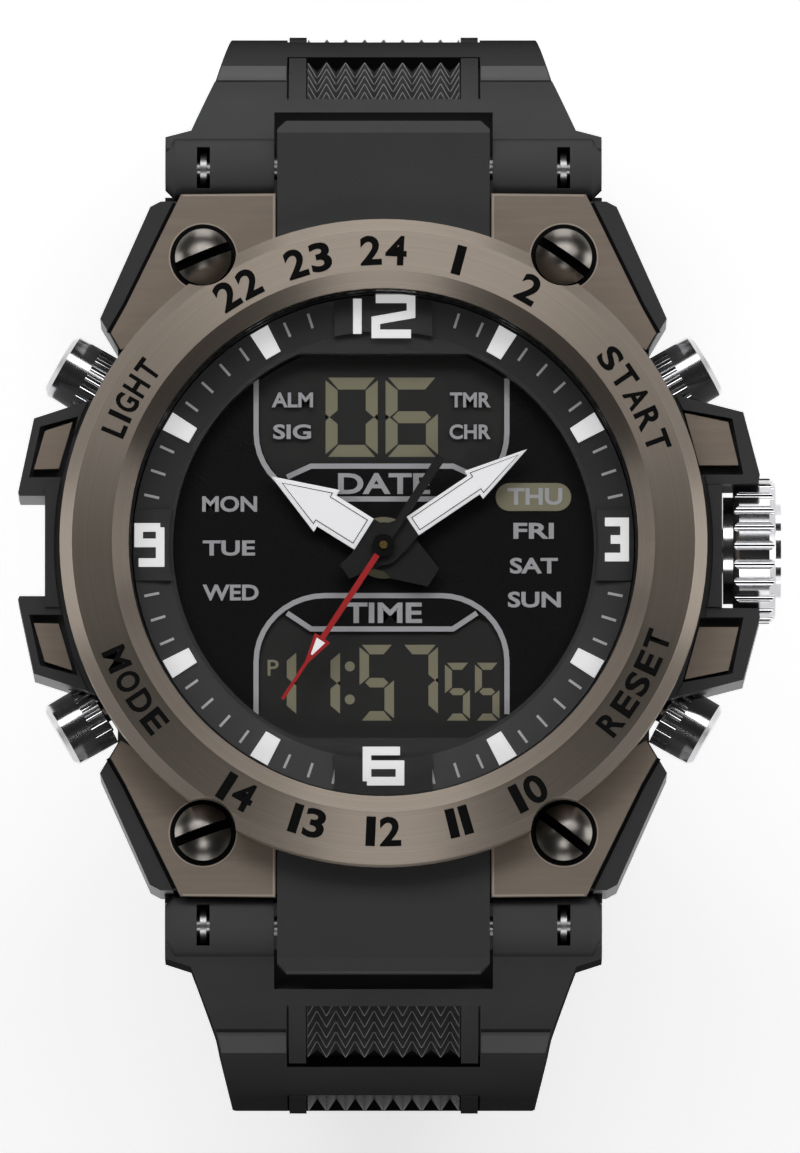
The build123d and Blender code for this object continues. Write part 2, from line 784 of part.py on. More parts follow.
with BuildPart() as hour_hand:
    add(hand(hour_outline, hour_hand_z, hour_hub_radius, hour_tube_radius, hour_angle))
save(hour_hand, "hour_hand")

with BuildPart() as minute_hand:
    add(hand(minute_outline, minute_hand_z, minute_hub_radius, cannon_radius, minute_angle))
save(minute_hand, "minute_hand")

with BuildPart() as second_hand:
    add(hand(second_outline, second_hand_z, second_hub_radius, arbor_radius, second_angle))
save(second_hand, "second_hand")

# Case back, its screws and gasket
back_radius = 18.4
back_plug_radius = 15.0
gasket_low = 1.3
gasket_high = 1.8
back_screw_head_radius = 0.9
back_screw_head_depth = 0.6
gasket_groove_radius = 14.7

with BuildPart() as case_back:
    add(disc(back_radius, 0, case_bottom))
    add(disc(back_plug_radius, case_bottom, back_plug_top))
    add(ring(back_plug_radius, gasket_groove_radius, gasket_low, gasket_high), mode=Mode.SUBTRACT)
    for angle in back_screw_angles:
        place = polar(back_screw_ring, angle)
        add(disc(back_screw_radius, 0, case_bottom, place), mode=Mode.SUBTRACT)
        add(disc(back_screw_head_radius, 0, back_screw_head_depth, place), mode=Mode.SUBTRACT)
save(case_back, "case_back")

with BuildPart() as back_gasket:
    add(ring(case_bore, gasket_groove_radius, gasket_low, gasket_high))
save(back_gasket, "back_gasket")

with BuildPart() as back_screws:
    for angle in back_screw_angles:
        place = polar(back_screw_ring, angle)
        add(disc(back_screw_radius, back_screw_head_depth - slip, back_screw_top, place))
        add(disc(back_screw_head_radius, slip, back_screw_head_depth, place))
save(back_screws, "back_screws")

# Four push buttons with their tubes and springs
button_head_radius = 2.45
button_head_start = 23.7
button_collar_end = 25.0
button_end = 27.2
button_edge = 0.35
button_ribs = 20
button_rib_radius = 0.28
button_bore_radius = 2.0
button_bore_end = 25.3
button_shaft_radius = 0.85
button_shaft_start = 16.3
button_clip_radius = 1.35
button_clip_end = 16.95
button_clip_start = 16.6
tube_inner = 0.95
spring_wire = 0.25
spring_radius = 1.45
spring_end = 25.15
spring_length = 1.5
spring_turns = 4

with BuildPart() as button_tubes:
    for angle in button_angles.values():
        add(radial_rod(tube_outer, tube_inner_end, button_seat, angle, button_z))
    for angle in button_angles.values():
        add(radial_rod(tube_inner, 0, bezel_radius, angle, button_z), mode=Mode.SUBTRACT)
save(button_tubes, "button_tubes")

for hour, angle in button_angles.items():
    axis_plane = Plane(origin=(*polar(button_head_start, angle), button_z), z_dir=(*polar(1, angle), 0))
    with BuildPart() as button:
        with BuildSketch(axis_plane):
            Circle(button_head_radius)
        extrude(amount=button_end - button_head_start)
        chamfer(faces().sort_by(Axis((0, 0, 0), (*polar(1, angle), 0)))[-1].edges(), button_edge)
        with BuildSketch(axis_plane):
            with PolarLocations(button_head_radius, button_ribs):
                Circle(button_rib_radius)
        extrude(amount=button_collar_end - button_head_start, mode=Mode.SUBTRACT)
        add(radial_rod(button_bore_radius, button_head_start - slip, button_bore_end, angle, button_z),
            mode=Mode.SUBTRACT)
        add(radial_rod(button_shaft_radius, button_shaft_start, button_bore_end + slip, angle, button_z))
        add(radial_rod(button_clip_radius, button_clip_start, button_clip_end, angle, button_z))
    save(button, "button_" + hour)

    start = (*polar(spring_end - spring_length, angle), button_z)
    turns = Helix(spring_length / spring_turns, spring_length, spring_radius, center=start,
                  direction=(*polar(1, angle), 0))
    with BuildPart() as button_spring:
        with BuildSketch(Plane(origin=turns @ 0, z_dir=turns % 0)):
            Circle(spring_wire / 2)
        sweep(path=turns)
    save(button_spring, "button_spring_" + hour)

# Crown, stem and tube
crown_start = 25.4
crown_end = 28.5
crown_dome_end = 28.9
crown_collar_start = 24.7
crown_radius = 5.3
crown_collar_radius = 3.9
crown_flutes = 24
crown_flute_radius = 0.36
crown_edge = 0.45
crown_cavity_radius = 2.3
crown_cavity_end = 27.3
crown_dome_radius = 3.4
crown_tube_end = 26.3
crown_tube_inner = 0.75
stem_radius = 0.45
stem_start = 9.4
stem_groove = (10.0, 10.5)
stem_groove_radius = 0.28
gasket_start = 25.2
gasket_end = 25.9
slide_half = 1.1

with BuildPart() as crown:
    with BuildSketch(Plane.YZ.offset(crown_start)):
        with Locations((0, crown_z)):
            Circle(crown_radius)
    extrude(amount=crown_end - crown_start)
    chamfer(faces().sort_by(Axis.X)[-1].edges() + faces().sort_by(Axis.X)[0].edges(), crown_edge)
    with BuildSketch(Plane.YZ.offset(crown_start)):
        with Locations((0, crown_z)):
            with PolarLocations(crown_radius, crown_flutes):
                Circle(crown_flute_radius)
    extrude(amount=crown_end - crown_start, mode=Mode.SUBTRACT)
    add(rod(crown_dome_radius, (crown_start, 0, crown_z), (crown_dome_end, 0, crown_z)))
    add(rod(crown_collar_radius, (crown_collar_start, 0, crown_z), (crown_end, 0, crown_z)))
    add(rod(crown_cavity_radius, (0, 0, crown_z), (crown_cavity_end, 0, crown_z)), mode=Mode.SUBTRACT)
save(crown, "crown")

with BuildPart() as stem:
    add(rod(stem_radius, (stem_start, 0, crown_z), (crown_cavity_end, 0, crown_z)))
    add(rod(stem_radius + slip, (stem_groove[0], 0, crown_z), (stem_groove[1], 0, crown_z)),
        mode=Mode.SUBTRACT)
    add(rod(stem_groove_radius, (stem_groove[0] - slip, 0, crown_z), (stem_groove[1] + slip, 0, crown_z)))
save(stem, "stem")

with BuildPart() as crown_tube:
    add(rod(crown_tube_outer, (crown_tube_start, 0, crown_z), (crown_tube_end, 0, crown_z)))
    add(rod(crown_tube_inner, (0, 0, crown_z), (hood_end, 0, crown_z)), mode=Mode.SUBTRACT)
save(crown_tube, "crown_tube")

with BuildPart() as crown_gasket:
    add(rod(crown_cavity_radius, (gasket_start, 0, crown_z), (gasket_end, 0, crown_z)))
    add(rod(crown_tube_outer + slip, (0, 0, crown_z), (hood_end, 0, crown_z)), mode=Mode.SUBTRACT)
save(crown_gasket, "crown_gasket")

with BuildPart() as setting_slide:
    add(block(stem_groove[0] + slip, stem_groove[1] - slip, -slide_half, slide_half, web_top,
              crown_z - stem_groove_radius))
save(setting_slide, "setting_slide")

# Straps: middle lines as (turn radius, length) runs from the hinge
strap_start = 47.9
loop_radius = 38.8
loop_run = 28.5
tail_curl = 26.7
buckle_curl = 14.0
tail_straight = 49.0
buckle_straight = 16.0
root_half_thick = 1.95
link_half_thick = 1.7
tail_half_thick = 1.4
tail_end_rise = 0.4
root_run = 9.2
inset_start = 6.4
inset_pitch = 15.2
inset_counts = {1: 3, -1: 4}
inset_length = 9.0
inset_depth = 0.9
recess_half = 7.05
rail_outer_half = 6.9
rail_inner_half = 5.65
rail_rise = 0.2
rail_end_gap = 1.1
middle_margin = 0.6
middle_run = inset_start + 2 * inset_pitch + inset_length + middle_margin
level_turn = pi - radians(strap_start) - loop_run / loop_radius
strap_path = {
    1: ((loop_radius, loop_run), (buckle_curl, buckle_curl * level_turn), (0, buckle_straight)),
    -1: ((loop_radius, loop_run), (tail_curl, tail_curl * level_turn), (0, tail_straight)),
}
strap_length = {side: sum(length for _, length in runs) for side, runs in strap_path.items()}
barrel_radius = 2.25
barrel_half = 15.87
barrel_gap = 7.95
barrel_edge = 0.7
root_clear_radius = 5.0
pin_slot_inset = 2.3
pin_slot_length = 0.95
pin_slot_half = 1.5
pin_collar_inset = 2.55
pin_collar_length = 0.45
pin_collar_radius = 1.35
pin_end_inset = 0.57
pin_slot = (barrel_half - pin_slot_inset - pin_slot_length, barrel_half - pin_slot_inset)
pin_collar = (barrel_half - pin_collar_inset - pin_collar_length, barrel_half - pin_collar_inset)
pin_length_half = barrel_half - pin_end_inset
strap_side_widening = 0.13
shoulder_steps = ((0, -5.6), (0, 2.35), (1.87, 2.9), (3.62, 7.2), (4.87, 12.0), (4.87, 30.0))
side_steps = ((5.0, 0), (-7.0, 0), (-26.0, 5.0), (-39.0, 6.0))
strap_floor = -loop_radius - tail_curl
top_outline = tuple((barrel_half - narrower, hinge_y + away) for narrower, away in shoulder_steps)
side_half = barrel_half + strap_side_widening
side_outline = tuple((side_half - narrower, hinge_z + height) for height, narrower in side_steps)
strap_rear_half = side_outline[-1][0]
hole_tip_gap = 8.4
hole_pitch = 5.8
hole_count = 8
hole_length = 3.4
hole_width = 2.0
tip_length = {1: 0, -1: strap_rear_half}
strap_bar_radius = 0.8
strap_end_radius = 1.6
tongue_slot_half = 1.9
tongue_slot_length = 5.5


def strap_point(side, along, out):
    """The (y, z) point of a strap at a distance along its middle line and out from it, and its heading."""
    y, z, heading = hinge_y, hinge_z, radians(strap_start)
    left = along
    for radius, length in strap_path[side]:
        run = min(left, length)
        if radius:
            turned_to = heading + run / radius
            y += radius * (sin(turned_to) - sin(heading))
            z += radius * (cos(turned_to) - cos(heading))
            heading = turned_to
        else:
            y += run * cos(heading)
            z -= run * sin(heading)
        left -= run
    return (side * (y + out * sin(heading)), z + out * cos(heading)), heading


def strap_plane(side, along, out):
    """A plane on a strap, its z axis outward and its x axis across the strap."""
    (y, z), heading = strap_point(side, along, out)
    return Plane(origin=(0, y, z), x_dir=(1, 0, 0), z_dir=(0, side * sin(heading), cos(heading)))


def band(side, start, finish, low, high, half_wide):
    """A stretch of strap between two distances along its middle line and two heights out from it."""
    ends = [start]
    reached = 0
    for _, length in strap_path[side]:
        reached += length
        if start < reached < finish:
            ends.append(reached)
    ends.append(finish)
    straight_from = strap_length[side] - strap_path[side][-1][1]
    with BuildPart() as made:
        with BuildSketch(Plane.YZ.offset(-half_wide)):
            with BuildLine():
                for first, last in zip(ends, ends[1:]):
                    stops = (first, (first + last) / 2, last)
                    for out in (low, high):
                        points = [strap_point(side, along, out)[0] for along in stops]
                        if first < straight_from:
                            ThreePointArc(*points)
                        else:
                            Line(points[0], points[-1])
                for end in (start, finish):
                    Line(strap_point(side, end, low)[0], strap_point(side, end, high)[0])
            make_face()
        extrude(amount=half_wide + half_wide)
    return made.part


def side_slab(outline):
    """The front outline of a strap, as a prism along Y."""
    floor = ((outline[-1][0], strap_floor),)
    right = tuple(outline) + floor
    points = list(right) + [(-x, z) for x, z in reversed(right)]
    with BuildPart() as made:
        with BuildSketch(Plane.XZ):
            with BuildLine():
                Polyline(*points, close=True)
            make_face()
        extrude(amount=hood_end + hood_end, both=True)
    return made.part


def barrel(out, barrel_y):
    """One hinge barrel of a strap with a bevelled outer end."""
    with BuildPart() as made:
        with BuildSketch(Plane.YZ.offset(out * barrel_gap)):
            with Locations((barrel_y, hinge_z)):
                Circle(barrel_radius)
        extrude(amount=out * (barrel_half - barrel_gap))
        chamfer(faces().sort_by(Axis.X)[-1 if out > 0 else 0].edges(), barrel_edge)
    return made.part


def strap(side):
    """One strap half without its end work."""
    barrel_y = side * hinge_y
    with BuildPart() as made:
        add(band(side, 0, root_run, -root_half_thick, root_half_thick, side_half))
        add(band(side, root_run, middle_run, -link_half_thick, link_half_thick, side_half))
        add(band(side, middle_run, strap_length[side] - tip_length[side], -tail_half_thick, tail_half_thick,
                 side_half))
        add(side_slab(side_outline), mode=Mode.INTERSECT)
        for out in both_sides:
            right = [(out * x, side * y) for x, y in top_outline]
            outer = [(out * (side_half + overrun), y) for _, y in right]
            add(slab(right + list(reversed(outer)), -hood_end, hood_end), mode=Mode.SUBTRACT)
        add(rod(root_clear_radius, (-barrel_gap, barrel_y, hinge_z), (barrel_gap, barrel_y, hinge_z)),
            mode=Mode.SUBTRACT)
        for out in both_sides:
            add(barrel(out, barrel_y))
        add(rod(pin_radius + slip, (-hood_end, barrel_y, hinge_z), (hood_end, barrel_y, hinge_z)),
            mode=Mode.SUBTRACT)
        for out in both_sides:
            low, high = sorted((out * pin_slot[0], out * pin_slot[1]))
            add(rod(pin_slot_half, (low, barrel_y, hinge_z), (high, barrel_y, hinge_z)), mode=Mode.SUBTRACT)
            add(block(low, high, barrel_y - pin_slot_half, barrel_y + pin_slot_half, hinge_z, hood_top),
                mode=Mode.SUBTRACT)
        for number in range(inset_counts[side]):
            begin = inset_start + number * inset_pitch
            finish = begin + inset_length
            skin = link_half_thick if finish < middle_run else tail_half_thick
            floor = skin - inset_depth
            add(band(side, begin, finish, floor, skin + overrun, recess_half), mode=Mode.SUBTRACT)
            for out in both_sides:
                rail_middle = out * (rail_outer_half + rail_inner_half) / 2
                rail_half = (rail_outer_half - rail_inner_half) / 2
                rail = band(side, begin, finish - rail_end_gap, floor - slip, skin + rail_rise, rail_half)
                add(rail.moved(Location((rail_middle, 0, 0))))
    return made.part


with BuildPart() as strap_6:
    add(strap(-1))
    add(band(-1, strap_length[-1] - tail_straight, strap_length[-1] - tip_length[-1], -tail_half_thick,
             tail_half_thick + tail_end_rise, strap_rear_half))
    for number in range(hole_count):
        hole_at = strap_length[-1] - hole_tip_gap - number * hole_pitch
        with BuildSketch(strap_plane(-1, hole_at, overrun + tail_half_thick)):
            SlotOverall(hole_length, hole_width, rotation=0)
        extrude(amount=-overrun - overrun - tail_half_thick - tail_half_thick - overrun, mode=Mode.SUBTRACT)
    with BuildSketch(strap_plane(-1, strap_length[-1] - tip_length[-1], -tail_half_thick)):
        Circle(tip_length[-1])
    extrude(amount=tail_half_thick + tail_half_thick + tail_end_rise)
save(strap_6, "strap_6")

(bar_y, bar_z), _ = strap_point(1, strap_length[1], 0)
tail_play = 0.5
loop_wall = 1.2
loop_wall_wide = 1.6
fixed_loop_back = 12.9
fixed_loop_half = 1.8
sliding_loop_back = 6.7
sliding_loop_half = 1.7
loop_side_gap = 0.25
tail_room = tail_half_thick + tail_half_thick + tail_play
loop_half_wide = strap_rear_half + loop_wall_wide


def keeper(along, half_length, side_gap, own_half_thick):
    """A loop round the strap with room for the tail outside it."""
    out_high = own_half_thick + tail_room + loop_wall
    out_low = own_half_thick + loop_wall
    with BuildPart() as made:
        with BuildSketch(strap_plane(1, along, 0)):
            Rectangle(loop_half_wide + loop_half_wide, half_length + half_length)
        extrude(amount=out_high)
        with BuildSketch(strap_plane(1, along, 0)):
            Rectangle(loop_half_wide + loop_half_wide, half_length + half_length)
        extrude(amount=-out_low)
        with BuildSketch(strap_plane(1, along, 0)):
            Rectangle(side_gap + side_gap, half_length + half_length + overrun)
        extrude(amount=out_high - loop_wall, mode=Mode.SUBTRACT)
        with BuildSketch(strap_plane(1, along, 0)):
            Rectangle(side_gap + side_gap, half_length + half_length + overrun)
        extrude(amount=-out_low + loop_wall, mode=Mode.SUBTRACT)
    return made.part


with BuildPart() as strap_12:
    add(strap(1))
    add(keeper(strap_length[1] - fixed_loop_back, fixed_loop_half, strap_rear_half, tail_half_thick))
    add(rod(strap_end_radius, (-strap_rear_half, bar_y, bar_z), (strap_rear_half, bar_y, bar_z)))
    add(rod(strap_bar_radius + slip, (-hood_end, bar_y, bar_z), (hood_end, bar_y, bar_z)), mode=Mode.SUBTRACT)
    add(block(-tongue_slot_half, tongue_slot_half, bar_y - tongue_slot_half, bar_y + tongue_slot_length,
              bar_z - hood_end, bar_z + root_half_thick), mode=Mode.SUBTRACT)
save(strap_12, "strap_12")

with BuildPart() as sliding_keeper:
    add(keeper(strap_length[1] - sliding_loop_back, sliding_loop_half, strap_rear_half + loop_side_gap,
               tail_half_thick + running))
save(sliding_keeper, "sliding_keeper")

# Buckle: frame, bar and tongue
rail_gap = 0.35
rail_wide = 1.95
rail_half_thick = 1.2
rail_back = 2.0
buckle_reach = 10.5
cross_bar_width = 2.4
bar_head_inset = 0.6
tongue_half = 1.5
tongue_ring_radius = 1.65
tongue_thick = 0.9
buckle_corner = 1.25
rail_inner = strap_rear_half + rail_gap
rail_outer = rail_inner + rail_wide
bar_head = rail_outer - bar_head_inset

with BuildPart() as buckle_frame:
    with BuildSketch(Plane.XY.offset(bar_z - rail_half_thick)):
        with Locations((0, bar_y + rail_back / 2 - buckle_reach / 2)):
            RectangleRounded(rail_outer + rail_outer, rail_back + buckle_reach, buckle_corner)
        with BuildLine():
            Polyline(
                (-rail_inner, bar_y + rail_back + overrun),
                (rail_inner, bar_y + rail_back + overrun),
                (rail_inner, bar_y - buckle_reach + cross_bar_width),
                (-rail_inner, bar_y - buckle_reach + cross_bar_width),
                close=True,
            )
        make_face(mode=Mode.SUBTRACT)
    extrude(amount=rail_half_thick + rail_half_thick)
    add(rod(strap_bar_radius, (-bar_head, bar_y, bar_z), (bar_head, bar_y, bar_z)), mode=Mode.SUBTRACT)
save(buckle_frame, "buckle_frame")

with BuildPart() as buckle_bar:
    add(rod(strap_bar_radius, (-bar_head, bar_y, bar_z), (bar_head, bar_y, bar_z)))
save(buckle_bar, "buckle_bar")

with BuildPart() as buckle_tongue:
    add(rod(tongue_ring_radius, (-tongue_half, bar_y, bar_z), (tongue_half, bar_y, bar_z)))
    low = bar_z - rail_half_thick - tongue_thick
    add(block(-tongue_half, tongue_half, bar_y - buckle_reach, bar_y, low, low + tongue_thick - slip))
    add(rod(strap_bar_radius + slip, (-hood_end, bar_y, bar_z), (hood_end, bar_y, bar_z)), mode=Mode.SUBTRACT)
save(buckle_tongue, "buckle_tongue")

with BuildPart() as spring_bars:
    for up in both_sides:
        hinge_at = up * hinge_y
        add(rod(pin_radius, (-pin_length_half, hinge_at, hinge_z), (pin_length_half, hinge_at, hinge_z)))
        for out in both_sides:
            near, far = (out * end for end in pin_collar)
            add(rod(pin_collar_radius, (near, hinge_at, hinge_z), (far, hinge_at, hinge_z)))
save(spring_bars, "spring_bars")
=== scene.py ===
"""Looks of the ana-digi sports watch. Metres, origin on the case back, +Z out of the dial, +Y to twelve."""

from math import atan2, cos, pi, radians, sin

import bmesh
import bpy
from mathutils import Matrix, Vector
from mathutils.bvhtree import BVHTree


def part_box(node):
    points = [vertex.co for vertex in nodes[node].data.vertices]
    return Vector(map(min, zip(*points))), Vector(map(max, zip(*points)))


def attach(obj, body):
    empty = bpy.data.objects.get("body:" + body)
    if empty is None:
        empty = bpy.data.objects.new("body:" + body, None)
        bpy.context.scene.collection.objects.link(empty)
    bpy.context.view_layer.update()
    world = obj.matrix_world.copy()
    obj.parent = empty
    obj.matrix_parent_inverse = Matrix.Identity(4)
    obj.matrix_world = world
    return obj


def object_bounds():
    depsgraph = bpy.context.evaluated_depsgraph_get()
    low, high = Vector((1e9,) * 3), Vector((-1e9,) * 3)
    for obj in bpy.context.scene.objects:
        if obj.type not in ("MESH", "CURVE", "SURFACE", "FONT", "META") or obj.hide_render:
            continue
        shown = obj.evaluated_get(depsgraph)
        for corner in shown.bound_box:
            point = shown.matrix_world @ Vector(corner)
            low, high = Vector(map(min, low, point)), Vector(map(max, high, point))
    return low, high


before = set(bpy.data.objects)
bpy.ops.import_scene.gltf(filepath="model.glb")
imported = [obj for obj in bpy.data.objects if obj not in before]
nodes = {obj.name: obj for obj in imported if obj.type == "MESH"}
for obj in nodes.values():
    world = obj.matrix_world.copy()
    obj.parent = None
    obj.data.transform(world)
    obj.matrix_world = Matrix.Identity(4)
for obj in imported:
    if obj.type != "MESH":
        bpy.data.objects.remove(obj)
cad_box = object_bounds()

MM = 0.001
LIFT = 0.02 * MM
FULL_TURN = 2 * pi

# Places taken from the CAD frame
dial_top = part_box("dial")[1].z
display_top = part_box("lcd_panel")[1].z
bezel_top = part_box("bezel_ring")[1].z
floor_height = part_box("strap_6")[0].z


def linear(red, green, blue):
    """A colour seen on a screen, 0 to 255, as Blender's linear colour."""
    def channel(value):
        value /= 255
        return value / 12.92 if value <= 0.04045 else ((value + 0.055) / 1.055) ** 2.4
    return (channel(red), channel(green), channel(blue), 1.0)


# Shader nodes


def shader(name):
    """A new material with its node tree, its surface shader and its output."""
    made = bpy.data.materials.new(name)
    made.use_nodes = True
    tree = made.node_tree
    return made, tree, tree.nodes["Principled BSDF"], tree.nodes["Material Output"]


def feed(tree, socket, value):
    """Give an input another node's output, or a plain value."""
    if isinstance(value, bpy.types.NodeSocket):
        tree.links.new(value, socket)
    else:
        socket.default_value = value


def feed_all(tree, node, **inputs):
    """Feed a node's inputs by name, with _ for a space."""
    for key, value in inputs.items():
        feed(tree, node.inputs[key.replace("_", " ")], value)
    return node


def add_node(tree, kind, **inputs):
    """A new node with its inputs fed by name."""
    return feed_all(tree, tree.nodes.new(kind), **inputs)


def maths(tree, operation, *values):
    """The result of an operation on numbers."""
    made = tree.nodes.new("ShaderNodeMath")
    made.operation = operation
    for socket, value in zip(made.inputs, values):
        feed(tree, socket, value)
    return made.outputs["Value"]


def vector_maths(tree, operation, *values, result="Vector", **inputs):
    """The result of an operation on vectors."""
    made = tree.nodes.new("ShaderNodeVectorMath")
    made.operation = operation
    for socket, value in zip(made.inputs, values):
        feed(tree, socket, value)
    feed_all(tree, made, **inputs)
    return made.outputs[result]


def mixed_colour(tree, share, first, second):
    """A colour that goes from the first to the second by a share."""
    made = tree.nodes.new("ShaderNodeMix")
    made.data_type = "RGBA"
    feed_all(tree, made, Factor=share, A=first, B=second)
    return made.outputs["Result"]


def mixed_shader(tree, share, first, second):
    """A surface that goes from the first to the second by a share."""
    made = add_node(tree, "ShaderNodeMixShader", Fac=share)
    feed(tree, made.inputs[1], first)
    feed(tree, made.inputs[2], second)
    return made.outputs["Shader"]


def own_space(tree, output="Object"):
    """A place, or with Normal a facing, in the object's own space."""
    return tree.nodes.new("ShaderNodeTexCoord").outputs[output]


def split(tree, vector):
    """The X, Y and Z of a vector."""
    return add_node(tree, "ShaderNodeSeparateXYZ", Vector=vector).outputs


def object_noise(tree, grain, detail=3.0, stretch=(1, 1, 1)):
    """Noise in the object's own space, with grains of a size in metres."""
    mapping = add_node(tree, "ShaderNodeMapping", Vector=own_space(tree), Scale=stretch)
    noise = add_node(tree, "ShaderNodeTexNoise", Vector=mapping.outputs["Vector"], Scale=1 / grain,
                     Detail=detail)
    return noise.outputs["Fac"]


def spread(tree, value, low, high, begin=0.0, finish=1.0):
    """A value between two limits turned into a range from low to high."""
    made = add_node(tree, "ShaderNodeMapRange", Value=value, From_Min=begin, From_Max=finish, To_Min=low,
                    To_Max=high)
    return made.outputs["Result"]


# Materials
BLOTCH = 6 * MM
RING_LINES = 0.09 * MM
SMEAR = 8 * MM
PAINT_GRAIN = 0.15 * MM
GLASS_IOR = 1.45


def surface(name, dark, light, rough, metallic=0.0, grain=0.4 * MM, bump=0.0, stretch=(1, 1, 1), **settings):
    """A solid material whose colour and gloss vary in blotches, with a fine grain in relief."""
    made, tree, principled, _ = shader(name)
    wide = object_noise(tree, BLOTCH, stretch=stretch)
    fine = object_noise(tree, grain, detail=2.0, stretch=stretch)
    colour = mixed_colour(tree, spread(tree, wide, 0.0, 1.0), linear(*dark), linear(*light))
    feed_all(tree, principled, Base_Color=colour, Roughness=spread(tree, fine, *rough), Metallic=metallic,
             **settings)
    if bump:
        relief = add_node(tree, "ShaderNodeBump", Strength=1.0, Distance=bump, Height=fine)
        feed_all(tree, principled, Normal=relief.outputs["Normal"])
    return made


def turned_metal(name, dark, light, rough, strength, lean):
    """Metal brushed in circles round the hands' axis, its light leaning outward as on a worn, domed ring."""
    made, tree, principled, _ = shader(name)
    place = split(tree, own_space(tree))
    flat = add_node(tree, "ShaderNodeCombineXYZ", X=place["X"], Y=place["Y"]).outputs["Vector"]
    radius = vector_maths(tree, "LENGTH", flat, result="Value")
    rings = add_node(tree, "ShaderNodeCombineXYZ", X=radius, Z=place["Z"]).outputs["Vector"]
    noise = add_node(tree, "ShaderNodeTexNoise", Vector=rings, Scale=1 / RING_LINES, Detail=2.0)
    lines = noise.outputs["Fac"]
    tangent = tree.nodes.new("ShaderNodeTangent")
    tangent.direction_type = "RADIAL"
    tangent.axis = "Z"
    push = vector_maths(tree, "SCALE", vector_maths(tree, "NORMALIZE", flat), Scale=lean)
    normal = tree.nodes.new("ShaderNodeNewGeometry").outputs["Normal"]
    feed_all(tree, principled, Base_Color=mixed_colour(tree, lines, linear(*dark), linear(*light)),
             Roughness=spread(tree, lines, *rough), Metallic=1.0,
             Anisotropic=strength, Anisotropic_Rotation=0.25, Tangent=tangent.outputs["Tangent"],
             Normal=vector_maths(tree, "NORMALIZE", vector_maths(tree, "ADD", normal, push)))
    return made


def clear_glass(name):
    """Flat clear glass that lets light straight through and mirrors a little of it."""
    made, tree, principled, output = shader(name)
    through = tree.nodes.new("ShaderNodeBsdfTransparent").outputs["BSDF"]
    feed_all(tree, principled, Roughness=0.03, Base_Color=linear(20, 20, 20))
    fresnel = add_node(tree, "ShaderNodeFresnel", IOR=GLASS_IOR).outputs["Fac"]
    share = maths(tree, "MULTIPLY", fresnel, spread(tree, object_noise(tree, SMEAR), 0.5, 0.6))
    feed_all(tree, output, Surface=mixed_shader(tree, share, through, principled.outputs["BSDF"]))
    return made


def two_tone_hand(name, turn, start, outer, inner):
    """Paint that changes from the inner to the outer colour at a distance along a hand."""
    made, tree, principled, _ = shader(name)
    direction = (-sin(radians(turn)), cos(radians(turn)), 0)
    along = vector_maths(tree, "DOT_PRODUCT", own_space(tree), direction, result="Value")
    beyond = maths(tree, "GREATER_THAN", along, start)
    feed_all(tree, principled, Base_Color=mixed_colour(tree, beyond, linear(*inner), linear(*outer)),
             Roughness=spread(tree, object_noise(tree, PAINT_GRAIN), 0.35, 0.45))
    return made


def slotted_metal(name, dark, light, slot_top):
    """Metal that is black under a height: painted shade in the bottom of a screw's slot."""
    made = surface(name, dark, light, (0.26, 0.34), metallic=1.0)
    tree = made.node_tree
    under = maths(tree, "LESS_THAN", split(tree, own_space(tree))["Z"], slot_top)
    slot_shade = add_node(tree, "ShaderNodeBsdfDiffuse", Color=linear(8, 8, 8)).outputs["BSDF"]
    metal = tree.nodes["Principled BSDF"].outputs["BSDF"]
    feed_all(tree, tree.nodes["Material Output"], Surface=mixed_shader(tree, under, metal, slot_shade))
    return made


def paint_hood_slope_shade(material, half_wide, start, slope, colour):
    """Give the bevels of the two hoods over the strap ends a darker colour than their tops: painted shade."""
    tree = material.node_tree
    principled = tree.nodes["Principled BSDF"]
    spot = split(tree, own_space(tree))
    facing = split(tree, own_space(tree, "Normal"))
    narrow = maths(tree, "LESS_THAN", maths(tree, "ABSOLUTE", spot["X"]), half_wide)
    far = maths(tree, "GREATER_THAN", maths(tree, "ABSOLUTE", spot["Y"]), start)
    sloping = maths(tree, "LESS_THAN", facing["Z"], slope)
    share = maths(tree, "MULTIPLY", maths(tree, "MULTIPLY", narrow, far), sloping)
    top = principled.inputs["Base Color"].links[0].from_socket
    feed_all(tree, principled, Base_Color=mixed_colour(tree, share, top, colour))


def paint_steep_shade(material, steep, level, share):
    """Darken a material where its surface falls away from level: painted shade, its steep faces darker than
    its top.
    """
    tree = material.node_tree
    principled = tree.nodes["Principled BSDF"]
    light = spread(tree, split(tree, own_space(tree, "Normal"))["Z"], share, 1.0, steep, level)
    top = principled.inputs["Base Color"].links[0].from_socket
    feed_all(tree, principled, Base_Color=vector_maths(tree, "SCALE", top, Scale=light))


def coat(material, *names):
    """Give CAD nodes one material."""
    for name in names:
        mesh = nodes[name].data
        mesh.materials.clear()
        mesh.materials.append(material)


FINE, METAL_GRAIN = 0.12 * MM, 0.1 * MM
# Painted glow: the lume and the hands' white tops give off some light of their own, to look brighter.
GLOW = {"Emission_Color": (1, 1, 1, 1), "Emission_Strength": 0.42}
resin = surface("case_resin", (57, 57, 58), (66, 66, 67), (0.36, 0.44), bump=0.01 * MM, grain=FINE,
                Specular_IOR_Level=0.3)
strap_resin = surface("strap_resin", (78, 78, 79), (87, 87, 88), (0.46, 0.54), bump=0.01 * MM, grain=FINE,
                      Specular_IOR_Level=0.0)
inset_resin = surface("inset_resin", (70, 70, 71), (80, 80, 81), (0.4, 0.48), grain=FINE,
                      Specular_IOR_Level=0.0)
# Painted highlight: the lighter grey of the pyramids' bevelled ridges.
ridge_highlight_resin = surface("ridge_highlight_resin", (146, 146, 147), (164, 164, 165), (0.4, 0.48), grain=FINE,
                      Specular_IOR_Level=0.1)
